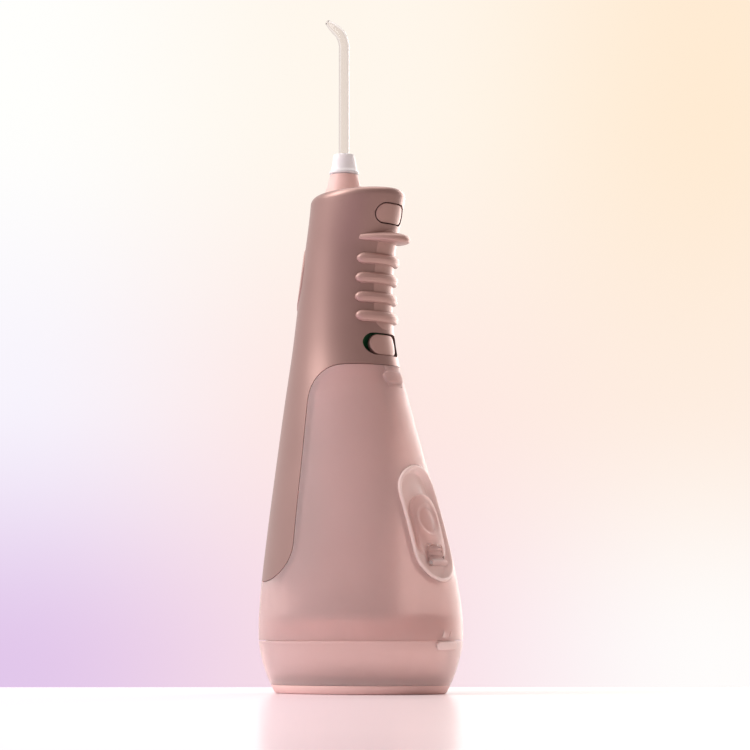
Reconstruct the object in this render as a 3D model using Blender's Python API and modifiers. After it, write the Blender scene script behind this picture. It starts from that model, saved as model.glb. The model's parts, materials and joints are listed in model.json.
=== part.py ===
"""Cordless water flosser: an assembly of separate solids, in metres, +Z up, front towards -Y.

The origin is at the middle of the flat foot. The pear-shaped body is one smooth form, divided into a
head with a tongue down its back, a frosted tank that slides down off the core, and a base cup.
"""

import math

import bmesh
import bpy
from mathutils import Matrix, Vector

MM = 0.001

# The outer form: height, reach to the front, reach to the back, half width.
BODY_STATIONS = (
    (0.0, 36.0, 36.0, 27.7),
    (3.0, 37.6, 37.6, 28.9),
    (10.0, 40.6, 40.6, 31.2),
    (20.0, 42.9, 42.9, 33.0),
    (36.0, 41.9, 42.5, 32.6),
    (60.0, 36.2, 40.0, 29.5),
    (90.0, 26.4, 36.1, 24.7),
    (114.0, 18.9, 32.7, 21.0),
    (133.0, 13.8, 29.8, 18.1),
    (152.0, 12.2, 27.2, 16.6),
    (172.0, 13.9, 23.9, 16.1),
    (187.0, 17.7, 21.3, 16.5),
    (193.0, 19.3, 20.7, 16.7),
)
BODY_TOP = 193.0 * MM
BODY_SIDES = 40
LONG_SPAN = 7.5 * MM
TOP_ROUND = 3.0 * MM
TOP_SLOPE = 0.047
TOP_RISE = 1.4 * MM
TOP_BLEND_Z = 177.0 * MM
GAP = 0.3 * MM

# How the body is divided.
SHOULDER_Z = 126.0 * MM
TONGUE_Y = 9.0 * MM
TONGUE_BOTTOM_Z = 43.0 * MM
SHOULDER_RADIUS = 14.0 * MM
TONGUE_CORNER_Y = 19.0 * MM
TONGUE_CORNER_Z = 14.0 * MM
BASE_SEAM_Z = 20.2 * MM
HOUSING_WALL = 2.0 * MM
TANK_WALL = 1.8 * MM
BASE_WALL = 4.6 * MM
BASE_FLOOR = 2.4 * MM
SPIGOT_INSET = 2.9 * MM
SEAM_HALF_GAP = 0.15 * MM
FOOT_HEIGHT = 3.2 * MM
SPIGOT_TOP_Z = 30.0 * MM
SEAL_ZS = (22.0 * MM, 28.0 * MM)
FAR = 80.0 * MM

# The core column that the tank slides along.
CORE_Y = 7.4 * MM
CORE_REACH = 20.6 * MM
CORE_HALF_WIDTH = 16.8 * MM
CORE_WALL = 1.5 * MM
CORE_BOTTOM_Z = 24.0 * MM
CORE_TOP_Z = 129.0 * MM
CORE_SIDES = 28
CORE_GAP = 2.0 * MM
COVER_HEIGHT = 2.4 * MM
COVER_LIP_INSET = 2.6 * MM

# The jet axis and the bent tip.
JET_Y = 8.2 * MM
JET_AXIS = (0.0, JET_Y)
STEM_BOTTOM_Z = 178.0 * MM
TIP_SHOULDER_Z = 203.3 * MM
KNOB_SEAT_RADIUS = 8.7 * MM
BEND_START_Z = 254.0 * MM
BEND_RADIUS = 10.0 * MM
BEND_TURN = math.radians(50.0)
TIP_RUN = 4.0 * MM
JET_TUBE_RADIUS = 2.1 * MM
JET_BORE_RADIUS = 1.3 * MM

# The pump and the drive.
CRANK_Z = 122.0 * MM
CRANK_THROW = 3.0 * MM
CRANK_AXIS = (JET_Y, CRANK_Z)
CROWN_TEETH = 24
CROWN_ROOT = 9.6 * MM
CROWN_TIP = 10.4 * MM
PINION_TEETH = 8
PINION_ROOT = 2.2 * MM
PINION_TIP = 3.1 * MM
PINION_Z = 111.0 * MM
ROD_EYE_Z = 125.0 * MM
SUCTION_XY = (-9.8 * MM, -3.5 * MM)
HOSE_RADIUS = 1.5 * MM
HOSE_BORE = 0.8 * MM

# The batteries, their cover and the electronics.
SCREW_YS = (CORE_Y - 14.5 * MM, CORE_Y + 14.5 * MM)
CELL_PLACES = ((0.0, -0.9 * MM), (-7.45 * MM, 11.9 * MM), (7.45 * MM, 11.9 * MM))
CONTACT_ZS = (30.1 * MM, 81.2 * MM)
CONTACT_THICKNESS = 0.5 * MM
BOARD_CORNERS = ((-7.0 * MM, -6.6 * MM, 130.0 * MM), (7.0 * MM, -5.0 * MM, 150.0 * MM))

# Buttons and the front grip.
EJECT_Z = 184.9 * MM
EJECT_SIZE = (16.0 * MM, 7.5 * MM)
EJECT_HOLE = (16.6 * MM, 8.1 * MM)
POWER_Z = 134.1 * MM
POWER_SIZE = (15.8 * MM, 8.0 * MM)
POWER_HOLE = (20.6 * MM, 8.8 * MM)
BUTTON_DEPTH = 3.0 * MM
RIB_ZS = (144.9 * MM, 152.3 * MM, 159.8 * MM, 167.3 * MM)
RIB_SIZE = (23.0 * MM, 4.2 * MM)
RIB_PROUD = 2.0 * MM
FLANGE_Z = 175.4 * MM
FLANGE_THICKNESS = 4.2 * MM
STRIP_SIZE = (11.0 * MM, 39.6 * MM)
STRIP_Z = 159.4 * MM
STRIP_DEPTH = 0.5 * MM
FLANGE_MIDDLE_Y = -5.6 * MM
FLANGE_REACH = (12.0 * MM, 17.6 * MM)
FLANGE_BEVEL = 1.2 * MM
EJECT_INSET = 0.2 * MM
POWER_INSET = 0.6 * MM
LATCH_LOW_Z = 182.4 * MM
LATCH_HIGH_Z = 184.0 * MM
SPRING_Z = 187.0 * MM
SPRING_YS = (-13.6 * MM, -5.0 * MM)
BACK_PAD_SIZE = (24.0 * MM, 30.0 * MM)
BACK_PAD_Z = 161.4 * MM
BACK_PAD_PROUD = 0.4 * MM
BACK_PAD_DEPTH = 0.9 * MM

# The fill port on the front of the tank.
PORT_Z = 64.5 * MM
PORT_SIZE = (23.0 * MM, 45.0 * MM)
DOOR_Z = 62.8 * MM
DOOR_SIZE = (17.0 * MM, 27.0 * MM)
DOOR_AXIS = (-37.9 * MM, 49.4 * MM)
DOOR_PIN_RADIUS = 0.6 * MM
DOOR_BARREL_RADIUS = 1.3 * MM
POUR_Z = 64.6 * MM
POUR_SIZE = (10.0 * MM, 16.0 * MM)
PLUG_SIZE = (9.4 * MM, 14.4 * MM)
PORT_RIM = 1.5 * MM
PORT_DEPTH = 4.6 * MM
RECESS_DEPTH = 2.8 * MM
TANK_TAB_SIZE = (11.0 * MM, 5.0 * MM)
TANK_TAB_Z = 119.3 * MM
TANK_BAND_SIZE = (8.4 * MM, 8.0 * MM)
TANK_BAND_Z = 121.2 * MM
BASE_TAB_SIZE = (12.6 * MM, 3.4 * MM)
BASE_TAB_Z = 18.2 * MM

# Turned profiles: (radius, height) in mm, up or down one side and back along the bore.
TIP_SOCKET = ((7.6, 189.9), (7.6, 188.0), (5.0, 186.6), (5.0, 185.4), (2.6, 185.4), (2.6, 189.9))
ROTATION_KNOB = ((5.5, 203.0), (5.7, 202.2), (6.5, 199.2), (7.5, 196.0), (8.3, 193.9), (8.3, 193.3),
                 (5.6, 193.3), (5.6, 190.3), (2.9, 190.3), (2.9, 203.0))
TIP_RING = ((3.9, 211.2), (4.2, 210.8), (4.4, 208.0), (4.9, 205.6), (5.4, 204.8), (5.8, 204.3), (5.8, 203.5),
            (5.5, 203.3), (2.5, 203.3), (2.5, 211.2))
JET_NOZZLE = ((1.0, 2.6), (2.1, 0.3), (0.35, 0.3), (0.35, 2.6))
PUMP_CYLINDER = ((2.0, 168.0), (2.0, 162.0), (7.0, 160.5), (7.0, 138.0), (8.6, 138.0), (8.6, 136.0),
                 (5.4, 136.0), (5.4, 157.5), (3.0, 158.0), (3.0, 161.0), (1.0, 161.5), (1.0, 168.0))
OUTLET_VALVE = ((0.0, 160.6), (2.4, 160.2), (2.4, 159.2), (0.0, 159.2))
OUTLET_HOSE = ((3.2, 181.8), (3.2, 164.5), (2.4, 164.5), (2.4, 181.8))
PISTON = ((0.0, 148.0), (5.0, 148.0), (5.0, 146.4), (4.2, 146.4), (4.2, 144.4), (5.0, 144.4),
          (5.0, 142.8), (2.0, 142.8), (2.0, 139.0), (0.0, 139.0))
PISTON_SEAL = ((5.1, 146.1), (5.1, 144.7), (4.5, 144.7), (4.5, 146.1))
PISTON_MIDDLE_Z = 145.4 * MM
MOTOR = ((0.0, 108.0), (3.6, 108.0), (3.6, 106.4), (11.4, 106.4), (12.0, 105.8), (12.0, 82.6),
         (11.4, 82.0), (0.0, 82.0))
COVER_SCREW = ((0.0, 30.0), (1.0, 30.0), (1.0, 25.2), (2.0, 25.2), (2.0, 24.2), (0.0, 24.2))
BATTERY_CELL = ((0.0, 81.0), (2.6, 81.0), (2.6, 79.8), (6.4, 79.8), (7.1, 79.2), (7.1, 31.5), (6.6, 31.0),
                (0.0, 31.0))

PARTS = "water_flosser"
CUTTERS = "cutters"


# ---------------------------------------------------------------- scene and materials

def clear_scene():
    for obj in list(bpy.data.objects):
        bpy.data.objects.remove(obj, do_unlink=True)


def named_collection(name):
    found = bpy.data.collections.get(name)
    if found is None:
        found = bpy.data.collections.new(name)
        bpy.context.scene.collection.children.link(found)
    return found


def plastic(name, colour, roughness, metallic=0.0):
    mat = bpy.data.materials.get(name)
    if mat is None:
        mat = bpy.data.materials.new(name)
        mat.use_nodes = True
        shader = mat.node_tree.nodes["Principled BSDF"]
        shader.inputs["Base Color"].default_value = (*colour, 1.0)
        shader.inputs["Roughness"].default_value = roughness
        shader.inputs["Metallic"].default_value = metallic
    return mat


def rose_plastic():
    return plastic("rose_plastic", (0.62, 0.40, 0.37), 0.35)


def rose_grip():
    return plastic("rose_grip", (0.66, 0.44, 0.40), 0.45)


def frosted_rose():
    return plastic("frosted_rose", (0.80, 0.55, 0.50), 0.30)


def pearl_rose():
    return plastic("pearl_rose", (0.82, 0.60, 0.56), 0.30)


def pale_nylon():
    return plastic("pale_nylon", (0.92, 0.89, 0.88), 0.35)


def clear_plastic():
    return plastic("clear_plastic", (0.90, 0.88, 0.86), 0.10)


def seal_rubber():
    return plastic("seal_rubber", (0.36, 0.24, 0.23), 0.70)


def inner_plastic():
    return plastic("inner_plastic", (0.45, 0.45, 0.46), 0.50)


def white_nylon():
    return plastic("white_nylon", (0.85, 0.85, 0.83), 0.45)


def steel():
    return plastic("steel", (0.62, 0.62, 0.63), 0.30, 1.0)


def brass():
    return plastic("brass", (0.72, 0.55, 0.28), 0.35, 1.0)


def board_green():
    return plastic("board_green", (0.04, 0.22, 0.10), 0.50)


def cell_sleeve():
    return plastic("cell_sleeve", (0.12, 0.13, 0.15), 0.40)


# ---------------------------------------------------------------- building blocks

def adopt(obj, name, mat=None):
    """Name an object and put it with the parts, or with the cutters when it has no material."""
    for owner in list(obj.users_collection):
        owner.objects.unlink(obj)
    obj.name = name
    obj.data.name = name
    if mat is None:
        named_collection(CUTTERS).objects.link(obj)
        obj.hide_render = True
        obj.display_type = "WIRE"
    else:
        named_collection(PARTS).objects.link(obj)
        obj.data.materials.clear()
        obj.data.materials.append(mat)
        obj.data.shade_smooth()
        obj.data.set_sharp_from_angle(angle=math.radians(35.0))
    return obj


def from_bmesh(bm, name, mat=None):
    bmesh.ops.recalc_face_normals(bm, faces=bm.faces)
    mesh = bpy.data.meshes.new(name)
    bm.to_mesh(mesh)
    bm.free()
    obj = bpy.data.objects.new(name, mesh)
    bpy.context.scene.collection.objects.link(obj)
    return adopt(obj, name, mat)


def bake(obj):
    """Replace an object's mesh with its evaluated one, and drop its modifiers."""
    bpy.context.view_layer.update()
    evaluated = obj.evaluated_get(bpy.context.evaluated_depsgraph_get())
    mesh = bpy.data.meshes.new_from_object(evaluated)
    obj.modifiers.clear()
    old = obj.data
    obj.data = mesh
    bpy.data.meshes.remove(old)
    mesh.name = obj.name
    return obj


def boolean(target, cutter, operation):
    mod = target.modifiers.new(operation.lower(), "BOOLEAN")
    mod.operation = operation
    mod.solver = "EXACT"
    mod.object = cutter
    bake(target)
    bpy.data.objects.remove(cutter, do_unlink=True)
    return target


def cut(target, *cutters):
    for cutter in cutters:
        boolean(target, cutter, "DIFFERENCE")
    return target


def keep(target, cutter):
    return boolean(target, cutter, "INTERSECT")


def fuse(target, *others):
    for other in others:
        boolean(target, other, "UNION")
    return target


def hang_on(obj, point):
    """Move an object's origin to a point on its joint's axis, leaving the shape where it is."""
    obj.data.transform(Matrix.Translation(-Vector(point)))
    obj.location = point
    return obj


def cylinder(name, radius, low, high, mat=None, axis="Z", at=(0.0, 0.0), sides=16):
    """A round bar from low to high along an axis; at gives its other two coordinates in order."""
    bm = bmesh.new()
    bmesh.ops.create_cone(bm, cap_ends=True, segments=sides, radius1=radius, radius2=radius,
                          depth=high - low)
    middle = (low + high) / 2.0
    if axis == "X":
        matrix = Matrix.Translation((middle, at[0], at[1])) @ Matrix.Rotation(math.pi / 2, 4, "Y")
    elif axis == "Y":
        matrix = Matrix.Translation((at[0], middle, at[1])) @ Matrix.Rotation(math.pi / 2, 4, "X")
    else:
        matrix = Matrix.Translation((at[0], at[1], middle))
    bmesh.ops.transform(bm, matrix=matrix, verts=bm.verts)
    return from_bmesh(bm, name, mat)


def block(name, low, high, mat=None, bevel=0.0):
    """A box between two corners, with its edges bevelled."""
    bm = bmesh.new()
    bmesh.ops.create_cube(bm, size=1.0)
    low, high = Vector(low), Vector(high)
    size = high - low
    bmesh.ops.transform(bm, matrix=Matrix.Translation((low + high) / 2.0) @ Matrix.Diagonal((*size, 1.0)),
                        verts=bm.verts)
    if bevel:
        bmesh.ops.bevel(bm, geom=bm.edges[:], offset=bevel, segments=2, affect="EDGES", profile=0.5)
    return from_bmesh(bm, name, mat)


def turned(name, profile, mat=None, at=(0.0, 0.0), sides=20):
    """A turned solid from a profile of (radius, height) points; one that meets the axis stays open there."""
    mesh = bpy.data.meshes.new(name)
    closed = profile[0][0] > 0.0
    count = len(profile)
    edges = [(i, (i + 1) % count) for i in range(count if closed else count - 1)]
    mesh.from_pydata([(radius * MM, 0.0, height * MM) for radius, height in profile], edges, [])
    obj = bpy.data.objects.new(name, mesh)
    bpy.context.scene.collection.objects.link(obj)
    screw = obj.modifiers.new("turn", "SCREW")
    screw.steps = sides
    screw.render_steps = sides
    screw.use_merge_vertices = True
    screw.merge_threshold = 0.00001
    obj.location = (at[0], at[1], 0.0)
    bake(obj)
    obj.data.transform(Matrix.Translation(obj.location))
    obj.location = (0.0, 0.0, 0.0)
    return adopt(obj, name, mat)


def curve_to_mesh(curve_obj, name, mat=None):
    bpy.context.view_layer.update()
    evaluated = curve_obj.evaluated_get(bpy.context.evaluated_depsgraph_get())
    mesh = bpy.data.meshes.new_from_object(evaluated)
    bm = bmesh.new()
    bm.from_mesh(mesh)
    bmesh.ops.transform(bm, matrix=curve_obj.matrix_world, verts=bm.verts)
    bmesh.ops.remove_doubles(bm, verts=bm.verts, dist=0.000001)
    bpy.data.objects.remove(curve_obj, do_unlink=True)
    bpy.data.meshes.remove(mesh)
    return from_bmesh(bm, name, mat)


PLANES = {
    "XZ": Matrix(((1, 0, 0, 0), (0, 0, -1, 0), (0, 1, 0, 0), (0, 0, 0, 1))),
    "YZ": Matrix(((0, 0, 1, 0), (1, 0, 0, 0), (0, 1, 0, 0), (0, 0, 0, 1))),
    "XY": Matrix.Identity(4),
}


def prism(name, outline, low, high, plane="XZ", mat=None):
    """A flat outline in a plane, drawn out between two places along the remaining axis."""
    curve = bpy.data.curves.new(name, "CURVE")
    curve.dimensions = "2D"
    curve.fill_mode = "BOTH"
    curve.extrude = (high - low) / 2.0
    spline = curve.splines.new("POLY")
    spline.points.add(len(outline) - 1)
    for point, (u, v) in zip(spline.points, outline):
        point.co = (u, v, 0.0, 1.0)
    spline.use_cyclic_u = True
    obj = bpy.data.objects.new(name, curve)
    bpy.context.scene.collection.objects.link(obj)
    middle = (low + high) / 2.0
    shift = {"XZ": (0, middle, 0), "YZ": (middle, 0, 0), "XY": (0, 0, middle)}[plane]
    obj.matrix_world = Matrix.Translation(shift) @ PLANES[plane]
    return curve_to_mesh(obj, name, mat)


def tube(name, points, radius, mat=None, roundness=2):
    """A round bar along a list of points, with filled ends."""
    curve = bpy.data.curves.new(name, "CURVE")
    curve.dimensions = "3D"
    curve.bevel_depth = radius
    curve.bevel_resolution = roundness
    curve.use_fill_caps = True
    spline = curve.splines.new("POLY")
    spline.points.add(len(points) - 1)
    for point, place in zip(spline.points, points):
        point.co = (*place, 1.0)
    obj = bpy.data.objects.new(name, curve)
    bpy.context.scene.collection.objects.link(obj)
    return curve_to_mesh(obj, name, mat)


def pill(width, height, at=(0.0, 0.0), grow=0.0, steps=5):
    """The outline of a slot with round ends, lying along its longer side."""
    half_width, half_height = width / 2.0 + grow, height / 2.0 + grow
    radius = min(half_width, half_height)
    run_u, run_v = half_width - radius, half_height - radius
    points = []
    for step in range(2 * steps + 2):
        first = step <= steps
        turn = math.pi * (step if first else step - 1) / steps
        side = 1.0 if first else -1.0
        if run_u >= run_v:
            turn -= math.pi / 2
        points.append((at[0] + radius * math.cos(turn) + (side * run_u if run_u >= run_v else 0.0),
                       at[1] + radius * math.sin(turn) + (side * run_v if run_u < run_v else 0.0)))
    return points


def gear_outline(teeth, root, tip, at=(0.0, 0.0)):
    points = []
    for tooth in range(teeth):
        for part, radius in ((0.0, root), (0.3, tip), (0.6, tip), (0.9, root)):
            turn = 2.0 * math.pi * (tooth + part) / teeth
            points.append((at[0] + radius * math.cos(turn), at[1] + radius * math.sin(turn)))
    return points


def coil(radius, low, high, turns, at, steps=8):
    """Points along a spring that lies along Y, from low to high, round an (x, z) centre."""
    count = turns * steps
    points = []
    for step in range(count + 1):
        turn = 2.0 * math.pi * step / steps
        y = low + (high - low) * step / count
        points.append((at[0] + radius * math.cos(turn), y, at[1] + radius * math.sin(turn)))
    return points


# ---------------------------------------------------------------- the body's form

def station_value(z_mm, column):
    """A smooth curve through the stations: cubic spans with the mean of the slopes either side."""
    rows = BODY_STATIONS

    def slope(index):
        low, high = rows[max(index - 1, 0)], rows[min(index + 1, len(rows) - 1)]
        return (high[column] - low[column]) / (high[0] - low[0])

    span = 0
    while span < len(rows) - 2 and z_mm > rows[span + 1][0]:
        span += 1
    low, high = rows[span], rows[span + 1]
    width = high[0] - low[0]
    t = min(max((z_mm - low[0]) / width, 0.0), 1.0)
    return ((2 * t ** 3 - 3 * t ** 2 + 1) * low[column] + (t ** 3 - 2 * t ** 2 + t) * width * slope(span)
            + (3 * t ** 2 - 2 * t ** 3) * high[column] + (t ** 3 - t ** 2) * width * slope(span + 1))


def body_reach(z):
    """Front reach, back reach and half width of the body at a height, in metres."""
    return tuple(station_value(z / MM, column) * MM for column in (1, 2, 3))


def body_section(z, inset):
    """One ring of the body, drawn in by inset; near the top the rings slope up towards the front."""
    front, back, half_width = body_reach(z)
    middle = (back - front) / 2.0
    length = (back + front) / 2.0 - inset
    width = half_width - inset
    section = [Vector((width * math.sin(turn), middle - length * math.cos(turn), z))
               for turn in (2.0 * math.pi * side / BODY_SIDES for side in range(BODY_SIDES))]
    for point in section:
        point.z += top_lift(z) * (TOP_RISE - TOP_SLOPE * point.y)
    return section


def top_lift(z):
    """How far a height takes part in the sloping top: none at the blend, all of it at the top."""
    t = min(max((z - TOP_BLEND_Z) / (BODY_TOP - TOP_BLEND_Z), 0.0), 1.0)
    return t * t * (3.0 - 2.0 * t)


def heights(low, high):
    """Every form is faceted at the same heights: the stations, and the middles of the long spans."""
    grid = [row[0] * MM for row in BODY_STATIONS]
    grid += [(a + b) / 2.0 for a, b in zip(grid, grid[1:]) if b - a > LONG_SPAN]
    return [low] + sorted(z for z in grid if low + 0.5 * MM < z < high - 0.5 * MM) + [high]


def loft(name, sections, mat=None):
    """Skin a stack of rings with equal counts, and cap both ends."""
    bm = bmesh.new()
    rings = [[bm.verts.new(point) for point in section] for section in sections]
    for lower, upper in zip(rings, rings[1:]):
        for side in range(len(lower)):
            after = (side + 1) % len(lower)
            bm.faces.new((lower[side], lower[after], upper[after], upper[side]))
    bm.faces.new(reversed(rings[0]))
    bm.faces.new(rings[-1])
    return from_bmesh(bm, name, mat)


def body_form(name, low, high, inset=0.0, mat=None):
    """The body between two heights, drawn in by inset; its top edge is rounded where it is reached."""
    top = BODY_TOP - inset
    if high < top:
        sections = [body_section(z, inset) for z in heights(low, high)]
    else:
        sections = [body_section(z, inset) for z in heights(low, top - TOP_ROUND)]
        for turn in (30.0, 60.0, 90.0):
            drawn_in = TOP_ROUND * (1.0 - math.cos(math.radians(turn)))
            z = top - TOP_ROUND + TOP_ROUND * math.sin(math.radians(turn))
            sections.append(body_section(z, inset + drawn_in))
    return loft(name, sections, mat)


def body_shell(name, low, high, outer, inner, mat=None):
    """The layer of the body between two insets and two heights."""
    shell = body_form(name, low, high, outer, mat)
    return cut(shell, body_form("inside", low - MM, high + MM, inner))


def core_form(name, low, high, grow=0.0, mat=None):
    bm = bmesh.new()
    bmesh.ops.create_cone(bm, cap_ends=True, segments=CORE_SIDES, radius1=1.0, radius2=1.0,
                          depth=high - low)
    scale = Matrix.Diagonal((CORE_HALF_WIDTH + grow, CORE_REACH + grow, 1.0, 1.0))
    bmesh.ops.transform(bm, matrix=Matrix.Translation((0.0, CORE_Y, (low + high) / 2.0)) @ scale,
                        verts=bm.verts)
    return from_bmesh(bm, name, mat)


def tank_side(grow, steps=6):
    """The tank's outline from the side: under the head's shoulder and round the tongue."""
    shoulder = SHOULDER_Z + grow
    wall = TONGUE_Y + grow
    bottom = TONGUE_BOTTOM_Z + grow
    radius = SHOULDER_RADIUS + grow
    corner_y, corner_z = TONGUE_CORNER_Y - grow, TONGUE_CORNER_Z - grow
    points = [(-FAR, -FAR), (-FAR, shoulder)]
    for step in range(steps + 1):
        turn = math.pi / 2 * (1.0 - step / steps)
        points.append((wall - radius + radius * math.cos(turn), shoulder - radius + radius * math.sin(turn)))
    for step in range(steps + 1):
        turn = math.pi / 2 * step / steps
        points.append((wall + corner_y - corner_y * math.cos(turn),
                       bottom + corner_z - corner_z * math.sin(turn)))
    points += [(FAR, bottom), (FAR, -FAR)]
    return points


def tank_side_cutter(grow):
    return prism("tank_side", tank_side(grow), -FAR, FAR, "YZ")


def surface_pad(name, outline, outer, inner, mat=None, back=False):
    """A patch of the body's front or back: an outline seen from the front, between two insets."""
    lowest = min(v for _, v in outline) - MM
    highest = max(v for _, v in outline) + MM
    pad = body_shell(name, lowest, highest, outer, inner, mat)
    low, high = (2.0 * JET_Y, FAR) if back else (-FAR, 0.0)
    return keep(pad, prism("pad_outline", outline, low, high))


# ---------------------------------------------------------------- head, tongue and grip

def main_housing():
    low = TONGUE_BOTTOM_Z - MM
    housing = body_form("main_housing", low, BODY_TOP, 0.0, rose_plastic())
    cut(housing, tank_side_cutter(0.0))
    hollow = body_form("hollow", low, BODY_TOP, HOUSING_WALL)
    cut(hollow, tank_side_cutter(HOUSING_WALL))
    cut(housing, hollow, core_form("core_hole", low - MM, CORE_TOP_Z + CORE_GAP, GAP))
    cut(housing, cylinder("jet_hole", 6.0 * MM, 185.0 * MM, 200.0 * MM, at=JET_AXIS))
    cut(housing, cylinder("knob_seat", KNOB_SEAT_RADIUS, BODY_TOP, 200.0 * MM, at=JET_AXIS, sides=32))
    for size, z in ((EJECT_HOLE, EJECT_Z), (POWER_HOLE, POWER_Z)):
        cut(housing, prism("button_hole", pill(*size, (0.0, z)), -FAR, -6.0 * MM))
    back_outline = pill(*BACK_PAD_SIZE, (0.0, BACK_PAD_Z), GAP)
    cut(housing, surface_pad("pad_seat", back_outline, -MM, BACK_PAD_DEPTH + GAP, back=True))
    groove = pill(*STRIP_SIZE, (0.0, STRIP_Z), GAP)
    return cut(housing, surface_pad("strip_groove", groove, -MM, STRIP_DEPTH + GAP))


def grip_strip():
    return surface_pad("grip_strip", pill(*STRIP_SIZE, (0.0, STRIP_Z)), 0.0, STRIP_DEPTH, rose_grip())


def finger_flange():
    """A crescent shelf: an upright elliptical bar, less the body."""
    low, high = FLANGE_Z - FLANGE_THICKNESS / 2.0, FLANGE_Z + FLANGE_THICKNESS / 2.0
    bm = bmesh.new()
    bmesh.ops.create_cone(bm, cap_ends=True, segments=BODY_SIDES, radius1=1.0, radius2=1.0,
                          depth=high - low)
    place = Matrix.Translation((0.0, FLANGE_MIDDLE_Y, FLANGE_Z))
    bmesh.ops.transform(bm, matrix=place @ Matrix.Diagonal((*FLANGE_REACH, 1.0, 1.0)), verts=bm.verts)
    rims = [edge for edge in bm.edges if abs(edge.verts[0].co.z - edge.verts[1].co.z) < 0.1 * MM]
    bmesh.ops.bevel(bm, geom=rims, offset=FLANGE_BEVEL, segments=2, affect="EDGES", profile=0.5)
    flange = from_bmesh(bm, "finger_flange", rose_grip())
    return cut(flange, body_form("body_side", low - MM, high + MM, -GAP))


def grip_rib(index):
    outline = pill(*RIB_SIZE, (0.0, RIB_ZS[index]), steps=6)
    return surface_pad(f"grip_rib_{index + 1}", outline, -RIB_PROUD, -GAP, rose_grip())


def back_pad():
    """The low palm pad let into the back of the head."""
    outline = pill(*BACK_PAD_SIZE, (0.0, BACK_PAD_Z))
    return surface_pad("back_pad", outline, -BACK_PAD_PROUD, BACK_PAD_DEPTH, rose_grip(), back=True)


def eject_button():
    outline = pill(*EJECT_SIZE, (0.0, EJECT_Z))
    button = surface_pad("eject_button", outline, EJECT_INSET, BUTTON_DEPTH, rose_grip())
    return hang_on(button, (0.0, -body_reach(EJECT_Z)[0], EJECT_Z))


def power_button():
    outline = pill(*POWER_SIZE, (0.0, POWER_Z))
    button = surface_pad("power_button", outline, POWER_INSET, BUTTON_DEPTH, rose_grip())
    return hang_on(button, (0.0, -body_reach(POWER_Z)[0], POWER_Z))


def latch_plate():
    """The plate that the eject button pushes back: a slot round the tip, and an arm to the button."""
    low, high = LATCH_LOW_Z, LATCH_HIGH_Z
    plate = block("latch_plate", (-7.0 * MM, -3.0 * MM, low), (7.0 * MM, 15.4 * MM, high), steel())
    fuse(plate, block("arm", (-3.0 * MM, -12.7 * MM, low), (3.0 * MM, -2.0 * MM, high)))
    hole = prism("tip_slot", pill(6.0 * MM, 11.0 * MM, (0.0, JET_Y - MM)), low - MM, high + MM, "XY")
    return hang_on(cut(plate, hole), (0.0, JET_Y, (low + high) / 2.0))


def eject_spring():
    low, high = SPRING_YS
    spring = tube("eject_spring", coil(1.9 * MM, low, high, 4, (0.0, SPRING_Z)), 0.3 * MM, steel(), 1)
    return hang_on(spring, (0.0, high, SPRING_Z))


# ---------------------------------------------------------------- tip

def tip_socket():
    return turned("tip_socket", TIP_SOCKET, inner_plastic(), JET_AXIS)


def rotation_knob():
    knob = turned("rotation_knob", ROTATION_KNOB, pearl_rose(), JET_AXIS)
    return hang_on(knob, (0.0, JET_Y, BODY_TOP + GAP))


def tip_ring():
    ring = turned("tip_ring", TIP_RING, pale_nylon(), JET_AXIS)
    return hang_on(ring, (0.0, JET_Y, TIP_SHOULDER_Z))


def jet_path(extra_low, extra_high, steps=5):
    """Up the jet axis, round the bend towards the back, and along the sloping end."""
    points = [Vector((0.0, JET_Y, STEM_BOTTOM_Z - extra_low))]
    centre = Vector((0.0, JET_Y + BEND_RADIUS, BEND_START_Z))
    for step in range(steps + 1):
        turn = BEND_TURN * step / steps
        points.append(centre + BEND_RADIUS * Vector((0.0, -math.cos(turn), math.sin(turn))))
    points.append(points[-1] + jet_direction() * (TIP_RUN + extra_high))
    return points


def jet_direction():
    return Vector((0.0, math.sin(BEND_TURN), math.cos(BEND_TURN)))


def jet_tube():
    outer = tube("jet_tube", jet_path(0.0, 0.0), JET_TUBE_RADIUS, clear_plastic(), 3)
    cut(outer, tube("bore", jet_path(2.0 * MM, 2.0 * MM), JET_BORE_RADIUS))
    return hang_on(outer, (0.0, JET_Y, TIP_SHOULDER_Z))


def jet_nozzle():
    """The small tapered end of the tip, with its jet hole."""
    nozzle = turned("jet_nozzle", JET_NOZZLE, clear_plastic(), sides=16)
    matrix = Matrix.Translation(jet_path(0.0, 0.0)[-1]) @ Matrix.Rotation(-BEND_TURN, 4, "X")
    nozzle.data.transform(matrix)
    return hang_on(nozzle, (0.0, JET_Y, TIP_SHOULDER_Z))


# ---------------------------------------------------------------- pump and drive

def pump_cylinder():
    """A thick tube with a closed crown and a neck up to the outlet hose."""
    return turned("pump_cylinder", PUMP_CYLINDER, inner_plastic(), JET_AXIS)


def outlet_valve():
    return turned("outlet_valve", OUTLET_VALVE, seal_rubber(), JET_AXIS)


def outlet_hose():
    return turned("outlet_hose", OUTLET_HOSE, seal_rubber(), JET_AXIS)


def piston():
    body = turned("piston", PISTON, white_nylon(), JET_AXIS)
    return hang_on(body, (0.0, JET_Y, PISTON_MIDDLE_Z))


def piston_seal():
    ring = turned("piston_seal", PISTON_SEAL, seal_rubber(), JET_AXIS)
    return hang_on(ring, (0.0, JET_Y, PISTON_MIDDLE_Z))


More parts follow.
